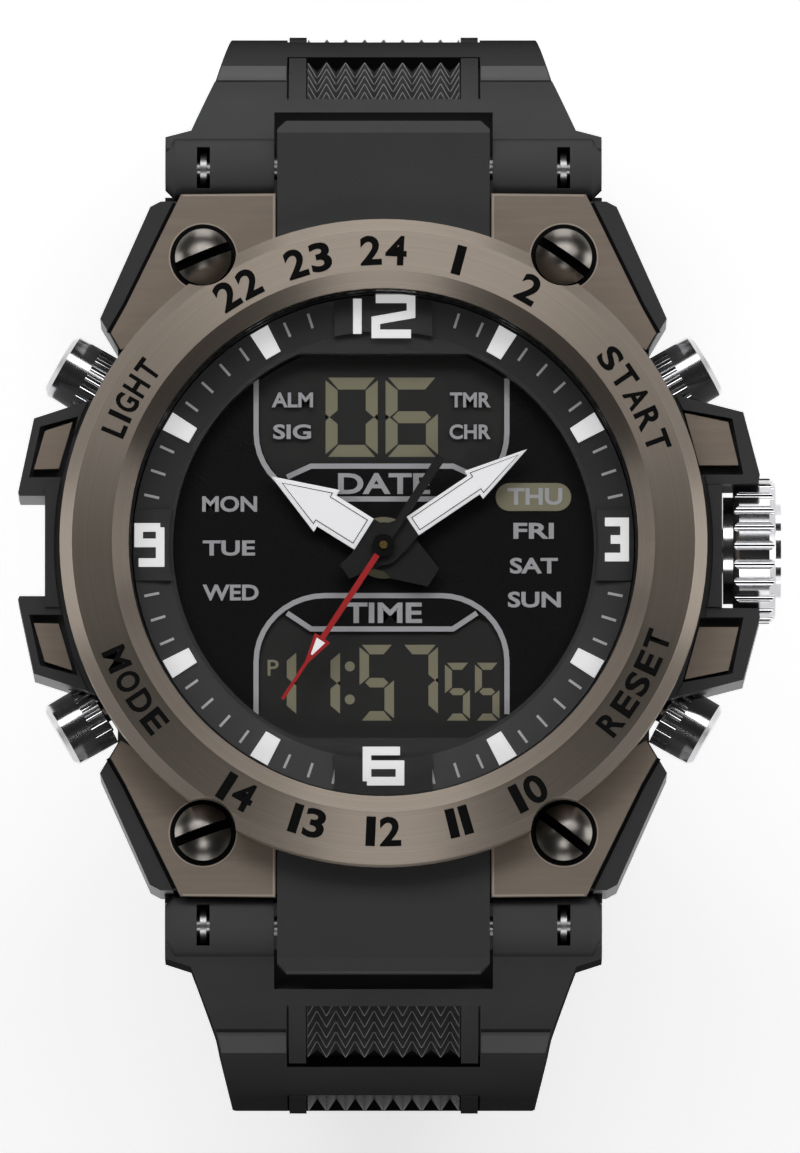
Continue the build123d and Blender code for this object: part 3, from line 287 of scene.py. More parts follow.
# Painted highlight: the lighter grey of the raised lip at the strap's first link.
lip_highlight_resin = surface("lip_highlight_resin", (106, 106, 107), (116, 116, 117), (0.46, 0.54), grain=FINE,
                    Specular_IOR_Level=0.0)
ring_metal = turned_metal("bronze_ring", (140, 130, 119), (172, 160, 148), (0.36, 0.44), 0.9, 0.2)
plate_metal = surface("bronze_plate", (138, 126, 115), (156, 144, 131), (0.5, 0.58), metallic=1.0,
                      stretch=(1, 12, 1), grain=METAL_GRAIN)
# Painted highlight: the bright metal of the plates' edges and of the rims by the screws.
edge_highlight_metal = surface("bronze_edge_highlight", (176, 165, 152), (190, 178, 164), (0.45, 0.52), metallic=0.6,
                     grain=METAL_GRAIN)
chrome = surface("polished_steel", (196, 196, 198), (208, 208, 210), (0.12, 0.17), metallic=1.0)
steel = surface("satin_steel", (165, 165, 166), (180, 180, 181), (0.3, 0.38), metallic=1.0,
                stretch=(1, 10, 1))
brass = surface("brass", (196, 160, 92), (208, 174, 106), (0.24, 0.3), metallic=1.0)
seal = surface("seal_rubber", (28, 28, 28), (34, 34, 34), (0.5, 0.6), bump=0.01 * MM)
dial_black = surface("dial_black", (9, 9, 10), (12, 12, 13), (0.26, 0.3), grain=METAL_GRAIN)
chapter_black = surface("chapter_black", (50, 50, 51), (60, 60, 61), (0.4, 0.48), grain=METAL_GRAIN,
                        bump=0.006 * MM)
display_dark = surface("display_dark", (48, 48, 47), (54, 54, 53), (0.3, 0.36))
segment_ink = surface("segment_ink", (160, 155, 128), (168, 163, 136), (0.4, 0.48))
clear_plastic = surface("clear_plastic", (190, 194, 186), (205, 208, 200), (0.12, 0.2))
module_plastic = surface("module_plastic", (60, 60, 64), (72, 72, 76), (0.4, 0.5))
board_green = surface("board_green", (28, 84, 52), (38, 98, 62), (0.3, 0.4))
lume_white = surface("lume_white", (236, 236, 236), (248, 248, 248), (0.45, 0.55), grain=FINE,
                     bump=0.004 * MM, **GLOW)
print_grey = surface("print_grey", (206, 206, 210), (214, 214, 218), (0.45, 0.55))
print_white = surface("print_white", (226, 226, 226), (236, 236, 236), (0.45, 0.55))
# Black for the fill of the engraved letters, and also for painted shade: the rings round the screws, the gaps
# to the case, the strap's groove and the ends of its recesses.
engraving_and_shade_black = surface("engraving_and_shade_black", (6, 6, 6), (9, 9, 9), (0.6, 0.7), Specular_IOR_Level=0.1)
hand_white = surface("hand_white", (240, 240, 246), (248, 248, 252), (0.3, 0.36), **GLOW)
line_grey = surface("hand_line", (88, 88, 92), (98, 98, 102), (0.4, 0.5))
hub_black = surface("hand_hub", (18, 18, 18), (24, 24, 24), (0.2, 0.26))
RED_PAINT = (214, 40, 44)
BLACK_PAINT = (22, 22, 23)
WHITE_PAINT = (240, 240, 242)

HOUR_TURN = 58
MINUTE_TURN = -56
SECOND_TURN = -213.2
HOUR_WHITE_START = 1.65 * MM
MINUTE_WHITE_START = 2.55 * MM
SECOND_RED_START = 0.83 * MM
HOOD_HALF, HOOD_START = 8.0 * MM, 24.0 * MM
HOOD_LEVEL = 0.93
# Painted shade on the strap: its colour scaled down to a share where its surface is steep.
FALL_STEEP, FALL_LEVEL, FALL_SHARE = 0.15, 0.55, 0.35
SLOT_TOP = 12.1 * MM

# Painted shade on the sloping bevels of the hoods.
paint_hood_slope_shade(resin, HOOD_HALF, HOOD_START, HOOD_LEVEL, linear(24, 24, 24))
# Painted shade on the strap's steep faces.
paint_steep_shade(strap_resin, FALL_STEEP, FALL_LEVEL, FALL_SHARE)
coat(resin, "middle_case")
coat(strap_resin, "strap_12", "strap_6", "sliding_keeper")
coat(ring_metal, "bezel_ring")
coat(plate_metal, "bezel_plate", "guard_inlays")
coat(slotted_metal("gunmetal_screw", (118, 114, 109), (136, 132, 127), SLOT_TOP), "corner_screws")
coat(chrome, "crown", "button_2", "button_4", "button_8", "button_10", "buckle_frame", "buckle_tongue",
     "buckle_bar")
coat(steel, "spring_bars", "case_back", "back_screws", "stem", "crown_tube", "button_tubes",
     "button_spring_2", "button_spring_4", "button_spring_8", "button_spring_10", "battery_clip", "battery",
     "button_contacts", "setting_slide", "stator", "minute_post")
coat(brass, "main_plate", "train_bridge", "between_wheel", "second_wheel", "third_wheel", "centre_wheel",
     "minute_wheel", "hour_wheel", "sounder", "rotor", "motor_coil")
coat(seal, "crystal_gasket", "back_gasket", "crown_gasket", "contact_strips")
coat(dial_black, "dial")
coat(chapter_black, "chapter_ring")
coat(display_dark, "lcd_panel")
coat(clear_plastic, "light_guide")
coat(module_plastic, "module_frame")
coat(board_green, "circuit_board")
coat(lume_white, "hour_markers")
coat(clear_glass("watch_glass"), "crystal")
coat(two_tone_hand("hour_paint", HOUR_TURN, HOUR_WHITE_START, WHITE_PAINT, BLACK_PAINT), "hour_hand")
coat(two_tone_hand("minute_paint", MINUTE_TURN, MINUTE_WHITE_START, WHITE_PAINT, BLACK_PAINT), "minute_hand")
coat(two_tone_hand("second_paint", SECOND_TURN, SECOND_RED_START, RED_PAINT, BLACK_PAINT), "second_hand")

# Mesh helpers. Places in pixels are measured on the photograph, from its left and top
PIXEL = 0.07264 * MM
PHOTO_X, PHOTO_Y = 383.5, 549.0
LETTER_STEPS = 4
CURVE_STEPS = 10
STROKE_MITRE, OUTLINE_MITRE = 0.5, 0.35


def on_dial(x, y):
    """A pixel of the dial as a place in metres."""
    return ((x - PHOTO_X) * PIXEL, (PHOTO_Y - y) * PIXEL)


def scaled(points):
    """Points in millimetres as points in metres."""
    return [(x * MM, y * MM) for x, y in points]


def add_object(name, data):
    """An object in the scene that shows some data."""
    made = bpy.data.objects.new(name, data)
    bpy.context.scene.collection.objects.link(made)
    return made


def piece(name, points, faces, material, body):
    """A mesh piece that rides on a body."""
    mesh = bpy.data.meshes.new(name)
    mesh.from_pydata([tuple(point) for point in points], [], faces)
    mesh.update()
    mesh.materials.append(material)
    made = add_object(name, mesh)
    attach(made, body)
    return made


class Sheets:
    """Flat outlines gathered into one thin printed piece."""

    def __init__(self):
        self.points = []
        self.faces = []

    def outline(self, outline, height):
        """A closed outline lifted a little from a height, which may be a function of (x, y)."""
        level = height if callable(height) else lambda x, y: height
        first = len(self.points)
        count = len(outline)
        self.points += [(x, y, level(x, y)) for x, y in outline]
        self.points += [(x, y, level(x, y) + LIFT) for x, y in outline]
        self.faces.append(tuple(first + count + number for number in range(count)))
        self.faces.append(tuple(first + count - 1 - number for number in range(count)))
        for number in range(count):
            after = (number + 1) % count
            self.faces.append((first + number, first + after, first + count + after, first + count + number))

    def stroke(self, path, width, height, closed=False):
        """A line of even width along a path of points."""
        path = [Vector(point) for point in path]
        left, right = [], []
        last = len(path) - 1
        for number, point in enumerate(path):
            before = path[number - 1] if number or closed else point
            after = path[(number + 1) % len(path)] if number < last or closed else point
            run_in = (point - before).normalized() if point != before else (after - point).normalized()
            run_out = (after - point).normalized() if after != point else run_in
            middle = (run_in + run_out).normalized()
            side = Vector((-middle.y, middle.x))
            reach = width / 2 / max(side.dot(Vector((-run_in.y, run_in.x))), STROKE_MITRE)
            left.append(point + side * reach)
            right.append(point - side * reach)
        ends = list(range(len(path))) + ([0] if closed else [])
        for first, second in zip(ends, ends[1:]):
            self.outline([right[first], right[second], left[second], left[first]], height)

    def made(self, name, material, body):
        """The gathered piece."""
        piece(name, self.points, self.faces, material, body)


def text_mesh(words, weight):
    """A flat mesh of words in the built-in font, one unit tall, as its points and faces."""
    curve = bpy.data.curves.new("words", "FONT")
    curve.body = words
    curve.offset = weight
    curve.resolution_u = LETTER_STEPS
    holder = add_object("words", curve)
    bpy.context.view_layer.update()
    mesh = bpy.data.meshes.new_from_object(holder.evaluated_get(bpy.context.evaluated_depsgraph_get()))
    points = [point.co.copy() for point in mesh.vertices]
    faces = [tuple(face.vertices) for face in mesh.polygons]
    bpy.data.objects.remove(holder)
    bpy.data.curves.remove(curve)
    bpy.data.meshes.remove(mesh)
    return points, faces


class Lettering:
    """Words fitted to boxes and gathered into one thin printed piece."""

    def __init__(self, weight):
        self.weight = weight
        self.points = []
        self.faces = []

    def word(self, words, centre, width, tall, height, turn=0.0):
        """One word fitted to a width and height about a centre, turned by an angle."""
        points, faces = text_mesh(words, self.weight)
        low = Vector((min(p.x for p in points), min(p.y for p in points)))
        high = Vector((max(p.x for p in points), max(p.y for p in points)))
        middle = (low + high) / 2
        across = width / (high.x - low.x)
        up = tall / (high.y - low.y)
        first = len(self.points)
        for point in points:
            x = (point.x - middle.x) * across
            y = (point.y - middle.y) * up
            self.points.append((
                centre[0] + x * cos(turn) - y * sin(turn),
                centre[1] + x * sin(turn) + y * cos(turn),
                height,
            ))
        self.faces += [tuple(first + number for number in face) for face in faces]

    def box_word(self, words, box, height):
        """One upright word fitted to a box of the dial, given as its left, right, top and bottom pixels."""
        left, right, top, bottom = box
        self.word(words, on_dial((left + right) / 2, (top + bottom) / 2), (right - left) * PIXEL,
                  (bottom - top) * PIXEL, height)

    def made(self, name, material, body):
        """The gathered words with a little thickness."""
        done = piece(name, self.points, self.faces, material, body)
        solid = done.modifiers.new("thickness", "SOLIDIFY")
        solid.thickness = LIFT
        solid.offset = 1.0


# Print on the dial
DIAL_WEIGHT, MARK_WEIGHT, ENGRAVED_WEIGHT = 0.028, 0.01, 0.03


def quarter_curve(start, finish):
    """A quarter of an ellipse from start to finish, in pixels of the dial."""
    made = []
    for number in range(CURVE_STEPS + 1):
        angle = number / CURVE_STEPS * pi / 2
        x = finish[0] + (start[0] - finish[0]) * cos(angle)
        y = start[1] + (finish[1] - start[1]) * sin(angle)
        made.append(on_dial(x, y))
    return made


FRAME_LINE = 5.2 * PIXEL
FRAME_LEFT, FRAME_RIGHT = 256, 507
FRAME_BOTTOM_LEFT, FRAME_BOTTOM_RIGHT = 325, 441
UPPER_TOP, UPPER_BEND, UPPER_BOTTOM = 379, 434, 500
LOWER_TOP, LOWER_BEND, LOWER_BOTTOM = 597, 663, 716
PLATE_LEFT, PLATE_RIGHT = 311, 453
UPPER_PLATE, UPPER_PLATE_END = 467, 478
LOWER_PLATE, LOWER_PLATE_END = 630.5, 614.5
PLATE_END_LEFT, PLATE_END_RIGHT = 287, 477

frames = Sheets()
for top, bend, bottom in (
    (UPPER_TOP, UPPER_BEND, UPPER_BOTTOM),
    (LOWER_BOTTOM, LOWER_BEND, LOWER_TOP),
):
    path = [on_dial(FRAME_LEFT, top)]
    path += quarter_curve((FRAME_LEFT, bend), (FRAME_BOTTOM_LEFT, bottom))
    path += reversed(quarter_curve((FRAME_RIGHT, bend), (FRAME_BOTTOM_RIGHT, bottom)))
    path.append(on_dial(FRAME_RIGHT, top))
    frames.stroke(path, FRAME_LINE, dial_top)
for plate, end in ((UPPER_PLATE, UPPER_PLATE_END), (LOWER_PLATE, LOWER_PLATE_END)):
    frames.stroke([on_dial(PLATE_END_LEFT, end), on_dial(PLATE_LEFT, plate), on_dial(PLATE_RIGHT, plate),
                   on_dial(PLATE_END_RIGHT, end)], FRAME_LINE, dial_top)
frames.made("dial_frames", print_grey, "case")

# Each word with its left, right, top and bottom pixels
DIAL_WORDS = {
    "ALM": (271.5, 313, 393, 408),
    "SIG": (273, 311, 425, 440),
    "TMR": (450, 491, 393, 408),
    "CHR": (449.5, 491, 425, 440),
    "DATE": (338, 430, 474, 495),
    "TIME": (345, 422, 604, 624.5),
    "MON": (202, 257, 497, 513),
    "TUE": (202.5, 255, 541.6, 557),
    "WED": (202.5, 258.5, 586, 602),
    "FRI": (513.5, 554, 524, 540),
    "SAT": (510, 558, 559, 575),
    "SUN": (508, 561, 593, 609),
}
words = Lettering(DIAL_WEIGHT)
for word, box in DIAL_WORDS.items():
    words.box_word(word, box, dial_top)
words.made("dial_words", print_grey, "case")

PILL = (495.7, 571.4, 484, 512)
PILL_WORD = (507.7, 562.5, 489, 506)
PILL_ROUND_STEPS = 12


def rounded_box(left, right, top, bottom):
    """A box with half-round ends, in pixels of the dial."""
    radius = (bottom - top) / 2
    middle = (top + bottom) / 2
    made = []
    for middle_x, first_angle in ((right - radius, pi / 2), (left + radius, -pi / 2)):
        for number in range(PILL_ROUND_STEPS + 1):
            angle = first_angle - pi * number / PILL_ROUND_STEPS
            made.append(on_dial(middle_x + radius * cos(angle), middle + radius * sin(angle)))
    return made


pill = Sheets()
pill.outline(rounded_box(*PILL), dial_top)
pill.made("day_mark", segment_ink, "case")
pill_word = Lettering(DIAL_WEIGHT)
pill_word.box_word("THU", PILL_WORD, dial_top + LIFT)
pill_word.made("day_word", print_grey, "case")

# Digits of the two displays
SEGMENTS = {
    "0": "abcdef",
    "1": "bc",
    "5": "acdfg",
    "6": "acdefg",
    "7": "abc",
}
SEGMENT_GAP = 0.9
END_SHARE = 0.7

# Each figure with its left, right, top and bottom pixels, and the width of its segments
DIGITS = (
    ("0", 325.5, 377.7, 377.6, 457.2, 12.0),
    ("6", 385.6, 438, 377.6, 457.2, 12.0),
    ("1", 270, 296.2, 651.6, 717.4, 9.5),
    ("1", 312, 340, 651.6, 717.4, 9.5),
    ("5", 359.5, 394, 646, 722, 9.5),
    ("7", 402, 438, 646, 717, 9.5),
    ("5", 445, 470, 664, 722, 7.0),
    ("5", 475, 499.5, 664, 722, 7.0),
)
COLON_X, COLON_Y, COLON_RADIUS = 349.8, (667.6, 700.8), 5
ROUND_STEPS = 24
AFTERNOON_BOX = (267.5, 278.5, 661, 677)


def digit(sheets, figure, left, right, top, bottom, thick):
    """A seven-segment figure in a box of pixels."""
    half = thick / 2
    middle = (top + bottom) / 2
    x0, x1, y0, y1 = left + half, right - half, top + half, bottom - half
    corners = {
        "a": ((x0, y0), (x1, y0)),
        "g": ((x0, middle), (x1, middle)),
        "d": ((x0, y1), (x1, y1)),
        "f": ((x0, y0), (x0, middle)),
        "e": ((x0, middle), (x0, y1)),
        "b": ((x1, y0), (x1, middle)),
        "c": ((x1, middle), (x1, y1)),
    }
    for name in SEGMENTS[figure]:
        (xa, ya), (xb, yb) = corners[name]
        run = Vector((xb - xa, yb - ya)).normalized()
        side = Vector((-run.y, run.x)) * half
        start = Vector((xa, ya)) + run * SEGMENT_GAP
        finish = Vector((xb, yb)) - run * SEGMENT_GAP
        inward = Vector(((left + right) / 2, middle)) - (start + finish) / 2
        inner = side if side.dot(inward) > 0 else -side
        if name == "g":
            outline = [start, start + run * half + side, finish - run * half + side, finish,
                       finish - run * half - side, start + run * half - side]
        else:
            reach = run * half * END_SHARE
            outline = [start - reach - inner, finish + reach - inner, finish - run * half + inner,
                       start + run * half + inner]
        sheets.outline([on_dial(*point) for point in outline], display_top)


display = Sheets()
for row in DIGITS:
    digit(display, *row)
for colon_y in COLON_Y:
    turns = [number / ROUND_STEPS * FULL_TURN for number in range(ROUND_STEPS)]
    display.outline([on_dial(COLON_X + COLON_RADIUS * cos(turn), colon_y - COLON_RADIUS * sin(turn))
                     for turn in turns], display_top)
display.made("display_digits", segment_ink, "case")
afternoon = Lettering(MARK_WEIGHT)
afternoon.box_word("P", AFTERNOON_BOX, display_top)
afternoon.made("display_mark", segment_ink, "case")

# Applied work on the hands, and the olive disc under them
WASHER_STEPS = 64


def washer(name, outer, inner, bottom, top, material, body):
    """A flat ring round the hands' axis."""
    points, faces = [], []
    for number in range(WASHER_STEPS):
        angle = number / WASHER_STEPS * FULL_TURN
        for radius, height in ((outer, bottom), (outer, top), (inner, top), (inner, bottom)):
            points.append((radius * cos(angle), radius * sin(angle), height))
        here, there = number * 4, (number + 1) % WASHER_STEPS * 4
        for corner in range(4):
            after = (corner + 1) % 4
            faces.append((here + corner, there + corner, there + after, here + after))
    piece(name, points, faces, material, body)


def offset_outline(outline, distance):
    """An outline moved inward by a distance; it runs anticlockwise."""
    made = []
    count = len(outline)
    for number in range(count):
        before, here, after = (Vector(outline[(number + step) % count]) for step in (-1, 0, 1))
        run_in, run_out = (here - before).normalized(), (after - here).normalized()
        side_in = Vector((-run_in.y, run_in.x))
        side_out = Vector((-run_out.y, run_out.x))
        middle = (side_in + side_out).normalized()
        made.append(here + middle * distance / max(middle.dot(side_in), OUTLINE_MITRE))
    return made


def turned_outline(outline, angle):
    """An outline turned about the hands' axis by an angle in degrees."""
    turn = Matrix.Rotation(radians(angle), 2)
    return [turn @ Vector(point) for point in outline]


def faceted(name, outline, angle, base, rise, bevel, material, body):
    """A raised top with sloping sides on a hand."""
    foot = turned_outline(outline, angle)
    rim = turned_outline(offset_outline(outline, bevel), angle)
    count = len(outline)
    points = [(x, y, base) for x, y in foot] + [(x, y, base + rise) for x, y in rim]
    faces = [tuple(range(count, count + count)), tuple(range(count - 1, -1, -1))]
    faces += [(number, (number + 1) % count, count + (number + 1) % count, count + number)
              for number in range(count)]
    piece(name, points, faces, material, body)


HOUR_WHITE = scaled(((-1.33, 1.65), (1.33, 1.65), (1.33, 4.85), (1.8, 4.85), (0, 9.65), (-1.8, 4.85),
                     (-1.33, 4.85)))
MINUTE_WHITE = scaled(((-0.81, 2.55), (0.81, 2.55), (0.81, 7.9), (1.23, 7.9), (0, 12.6), (-1.23, 7.9),
                       (-0.81, 7.9)))
SECOND_WHITE = scaled(((-0.36, 8.3), (0.36, 8.3), (0.06, 9.55), (-0.06, 9.55)))
HAND_EDGE = 0.02 * MM
HAND_LINE = 0.07 * MM
HAND_RISE = 0.13 * MM
HOUR_BEVEL, MINUTE_BEVEL = 0.32 * MM, 0.26 * MM
hour_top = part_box("hour_hand")[1].z
minute_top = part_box("minute_hand")[1].z
second_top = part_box("second_hand")[1].z
pin_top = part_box("second_wheel")[1].z

for name, outline, angle, top, bevel in (
    ("hour_hand", HOUR_WHITE, HOUR_TURN, hour_top, HOUR_BEVEL),
    ("minute_hand", MINUTE_WHITE, MINUTE_TURN, minute_top, MINUTE_BEVEL),
):
    faceted(name + "_top", offset_outline(outline, HAND_EDGE), angle, top, HAND_RISE, bevel, hand_white, name)
    ridge = Sheets()
    rim = turned_outline(offset_outline(outline, HAND_EDGE + bevel), angle)
    ridge.stroke(rim, HAND_LINE, top + HAND_RISE, closed=True)
    ridge.made(name + "_line", line_grey, name)
faceted("second_hand_arrow", SECOND_WHITE, SECOND_TURN, second_top, HAND_EDGE, HAND_EDGE, hand_white,
        "second_hand")
HUB_RADIUS, HUB_RISE = 0.8 * MM, 0.12 * MM
PIN_CAP, PIN_RADIUS, PIN_HOLE, PIN_RISE = 0.06 * MM, 0.29 * MM, 0.12 * MM, 0.04 * MM
washer("second_hand_hub", HUB_RADIUS, PIN_RADIUS - PIN_CAP, second_top, second_top + HUB_RISE, hub_black,
       "second_hand")
washer("second_hand_pin", PIN_RADIUS, PIN_HOLE, pin_top, pin_top + PIN_RISE, brass, "second_hand")
OLIVE_RADIUS, DIAL_HOLE = 2.25 * MM, 1.1 * MM
washer("dial_disc", OLIVE_RADIUS, DIAL_HOLE, dial_top, dial_top + LIFT, segment_ink, "case")

# Minute track on the sloping chapter ring
TICK_INNER, TICK_OUTER, TICK_WIDTH = 16.66 * MM, 17.76 * MM, 0.19 * MM
SLOPE_INNER, SLOPE_OUTER = 15.6 * MM, 18.2 * MM
SLOPE_LOW, SLOPE_HIGH = 10.9 * MM, 11.3 * MM
MINUTES = 60
MARKER_EVERY = 5
NO_TICK_WITHIN = {0: 2, 15: 1, 30: 1.5, 45: 1}


def chapter_height(x, y):
    """The height of the chapter ring's slope at a place."""
    share = (Vector((x, y)).length - SLOPE_INNER) / (SLOPE_OUTER - SLOPE_INNER)
    return SLOPE_LOW + share * (SLOPE_HIGH - SLOPE_LOW)


track = Sheets()
for minute in range(MINUTES):
    near = [min(abs(minute - place), MINUTES - abs(minute - place)) <= reach
            for place, reach in NO_TICK_WITHIN.items()]
    if minute % MARKER_EVERY == 0 or any(near):
        continue
    angle = pi / 2 - minute / MINUTES * FULL_TURN
    out = Vector((cos(angle), sin(angle)))
    side = Vector((-out.y, out.x)) * TICK_WIDTH / 2
    track.outline([out * TICK_INNER - side, out * TICK_OUTER - side, out * TICK_OUTER + side,
                   out * TICK_INNER + side], chapter_height)
track.made("minute_track", print_white, "case")

# Engraving on the bezel: a plain 24-hour ring, and what each button does
ENGRAVE_RADIUS = 21.15 * MM
NUMERAL_TALL, NUMERAL_WIDE = 2.15 * MM, 1.55 * MM
LABEL_TALL, LABEL_WIDE = 1.75 * MM, 1.45 * MM
NARROW = {"1": 0.45, "I": 0.35, "L": 0.85, "M": 1.15}
HOURS_ROUND = 24
NUMERAL_GAP, LABEL_GAP = 0.3 * MM, 0.28 * MM
UPPER_HOURS = ("22", "23", "24", "1", "2")
LOWER_HOURS = ("14", "13", "12", "11", "10")

# Each label with its angle in degrees, the width of its letters, and whether their tops point inward
LABELS = (
    ("LIGHT", 150.5, 0.8 * LABEL_WIDE, False),
    ("START", 29.5, LABEL_WIDE, False),
    ("MODE", 211, LABEL_WIDE, True),
    ("RESET", -29.5, LABEL_WIDE, True),
)


def ring_word(lettering, word, centre_angle, tall, wide, gap, inward):
    """Letters set one by one along the bezel, with their tops outward, or inward."""
    widths = [wide * NARROW.get(letter, 1.0) for letter in word]
    total = sum(widths) + gap * (len(word) - 1)
    place = -total / 2
    for letter, width in zip(word, widths):
        along = place + width / 2
        place += width + gap
        turn = along / ENGRAVE_RADIUS
        angle = centre_angle + turn if inward else centre_angle - turn
        upright = angle + pi / 2 if inward else angle - pi / 2
        lettering.word(letter, (ENGRAVE_RADIUS * cos(angle), ENGRAVE_RADIUS * sin(angle)), width, tall,
                       bezel_top, upright)


engraving = Lettering(ENGRAVED_WEIGHT)
for hours, inward in ((UPPER_HOURS, False), (LOWER_HOURS, True)):
    for hour in hours:
        ring_word(engraving, hour, pi / 2 - int(hour) / HOURS_ROUND * FULL_TURN, NUMERAL_TALL, NUMERAL_WIDE,
                  NUMERAL_GAP, inward)
for label, degrees, wide, inward in LABELS:
    ring_word(engraving, label, radians(degrees), LABEL_TALL, wide, LABEL_GAP, inward)
engraving.made("bezel_engraving", engraving_and_shade_black, "case")

# Painted light on the corner plates: dark rings of painted shade round the screws, bright edges of painted
# highlight, and painted shade in the gap to the case
PLATE_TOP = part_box("bezel_plate")[1].z
SCREW_PLACE = (13.1 * MM, 20.97 * MM)
SCREW_RING, SCREW_RING_WIDE = 2.25 * MM, 0.3 * MM
SCREW_RIM, SCREW_RIM_WIDE = 2.46 * MM, 0.1 * MM
RING_REACH = 23.0 * MM
PLATE_EDGE = scaled(((14.58, 25.47), (7.97, 25.52), (7.97, 21.75)))
PLATE_EDGE_WIDE = 0.13 * MM
PLATE_GAP = scaled(((20.02, 15.5), (18.86, 17.5), (14.86, 25.66)))
PLATE_GAP_WIDE = 0.26 * MM
GAP_STEPS = 12
RING_STEPS = 60
case_shape = bmesh.new()
case_shape.from_mesh(nodes["middle_case"].data)
case_shape.transform(nodes["middle_case"].matrix_world)
case_tree = BVHTree.FromBMesh(case_shape)
case_shape.free()


def case_height(x, y):
    """The height of the case's outside at a place, or beside it."""
    hit = case_tree.ray_cast(Vector((x, y, cad_box[1].z + MM)), Vector((0, 0, -1)))[0]
    return (hit or case_tree.find_nearest(Vector((x, y, PLATE_TOP)))[0]).z


def stepped(path, steps):
    """A path with more points on each of its runs."""
    made = [Vector(path[0])]
    for first, last in zip(path, path[1:]):
        made += [Vector(first).lerp(Vector(last), number / steps) for number in range(1, steps + 1)]
    return made


screw_ring_shade, plate_edge_highlights, plate_gap_shade = Sheets(), Sheets(), Sheets()
for out, up in ((-1, -1), (-1, 1), (1, -1), (1, 1)):
    centre = Vector((out * SCREW_PLACE[0], up * SCREW_PLACE[1]))
    ring, rim = [], []
    for number in range(RING_STEPS):
        angle = atan2(-up, -out) + number / RING_STEPS * FULL_TURN
        turn = Vector((cos(angle), sin(angle)))
        ring.append(centre + turn * SCREW_RING)
        if (centre + turn * SCREW_RIM).length > RING_REACH:
            rim.append(centre + turn * SCREW_RIM)
    screw_ring_shade.stroke(ring, SCREW_RING_WIDE, PLATE_TOP, closed=True)
    plate_edge_highlights.stroke(rim, SCREW_RIM_WIDE, PLATE_TOP)
    order = 1 if out * up < 0 else -1
    edge, gap = ([(out * x, up * y) for x, y in path][::order] for path in (PLATE_EDGE, PLATE_GAP))
    plate_edge_highlights.stroke(edge, PLATE_EDGE_WIDE, PLATE_TOP)
    plate_gap_shade.stroke(stepped(gap, GAP_STEPS), PLATE_GAP_WIDE, case_height)
screw_ring_shade.made("screw_ring_shade", engraving_and_shade_black, "case")
plate_edge_highlights.made("plate_edge_highlights", edge_highlight_metal, "case")
plate_gap_shade.made("plate_gap_shade", engraving_and_shade_black, "case")

# Strap inserts: rows of pyramids in each recess
HINGE_Y, HINGE_Z = 27.6 * MM, 9.0 * MM
STRAP_START = radians(47.9)

# The runs of each strap half, each with its bend radius, or 0 where straight, and its length
FIRST_RUN = (38.8 * MM, 28.5 * MM)
UPPER_RADIUS, LOWER_RADIUS = 14.0 * MM, 26.7 * MM
UPPER_END, LOWER_END = 16.0 * MM, 49.0 * MM
STRAP_RUNS = {
    1: (FIRST_RUN, (UPPER_RADIUS, UPPER_RADIUS * pi / 2), (0, UPPER_END)),
    -1: (FIRST_RUN, (LOWER_RADIUS, LOWER_RADIUS * pi / 2), (0, LOWER_END)),
}
INSET_START, INSET_PITCH, INSET_LENGTH = 6.4 * MM, 15.2 * MM, 9.0 * MM
INSET_COUNTS = {1: 3, -1: 4}
INSET_HALF = 5.55 * MM
INSET_DEPTH = 0.9 * MM
INSET_END_GAP = 1.1 * MM
LINK_HALF_THICK, TAIL_HALF_THICK = 1.7 * MM, 1.4 * MM
MIDDLE_RUN = 46.4 * MM
PYRAMID_COLUMNS, PYRAMID_ROWS = 7, 5
PYRAMID_RISE = 1.02 * MM
PYRAMID_FOOT = 0.02 * MM
RIDGE_WIDTH = 0.09 * MM
RECESS_HALF = 7.03 * MM
GAP_PLATE = 0.03 * MM
SHOULDERS = scaled(((14.0, 30.5), (12.25, 34.8), (11.0, 39.6)))
LEDGE_INNER, LEDGE_EDGE = 7.1 * MM, 0.1 * MM
# The groove is a black strip of painted shadow in the step.
GROOVE_BEGIN, GROOVE_END, GROOVE_RISE = 9.22 * MM, 10.0 * MM, 0.03 * MM


def rectangle(begin, finish, low, high):
    """The corners of a box from its limits along and out."""
    return ((begin, low), (finish, low), (finish, high), (begin, high))


GROOVE_PROFILE = rectangle(GROOVE_BEGIN, GROOVE_END, 0, GROOVE_RISE)
LIP_PROFILE = scaled(((10.0, -0.02), (13.0, -0.02), (13.0, 0.01), (12.1, 0.06), (11.2, 0.12), (10.35, 0.19),
                      (10.2, 0.17), (10.0, 0.03)))


def strap_place(side, along, out, across):
    """A place on a strap from its distance along, outward and across."""
    y, z, heading = HINGE_Y, HINGE_Z, STRAP_START
    left = along
    for radius, length in STRAP_RUNS[side]:
        run = min(left, length)
        if radius:
            turned = heading + run / radius
            y += radius * (sin(turned) - sin(heading))
            z += radius * (cos(turned) - cos(heading))
            heading = turned
        else:
            y += run * cos(heading)
            z -= run * sin(heading)
        left -= run
    return (across, side * (y + out * sin(heading)), z + out * cos(heading))


def cells(start, finish, count, halves):
    """Low end, high end and peak of each cell: half a cell first, then whole ones, then maybe half a one."""
    pitch = (finish - start) / (count + halves / 2)
    half = pitch / 2
    made = [(start, start + half, start)]
    for number in range(1, count + 1):
        peak = start + number * pitch
        made.append((peak - half, peak + half, peak))
    if halves > 1:
        made.append((finish - half, finish, finish))
    return made


def inset_recesses(side):
    """The ends, the skin's height and the floor's height of each recess of a strap half."""
    for number in range(INSET_COUNTS[side]):
        begin = INSET_START + number * INSET_PITCH
        skin = LINK_HALF_THICK if begin + INSET_LENGTH < MIDDLE_RUN else TAIL_HALF_THICK
        yield begin, begin + INSET_LENGTH, skin, skin - INSET_DEPTH


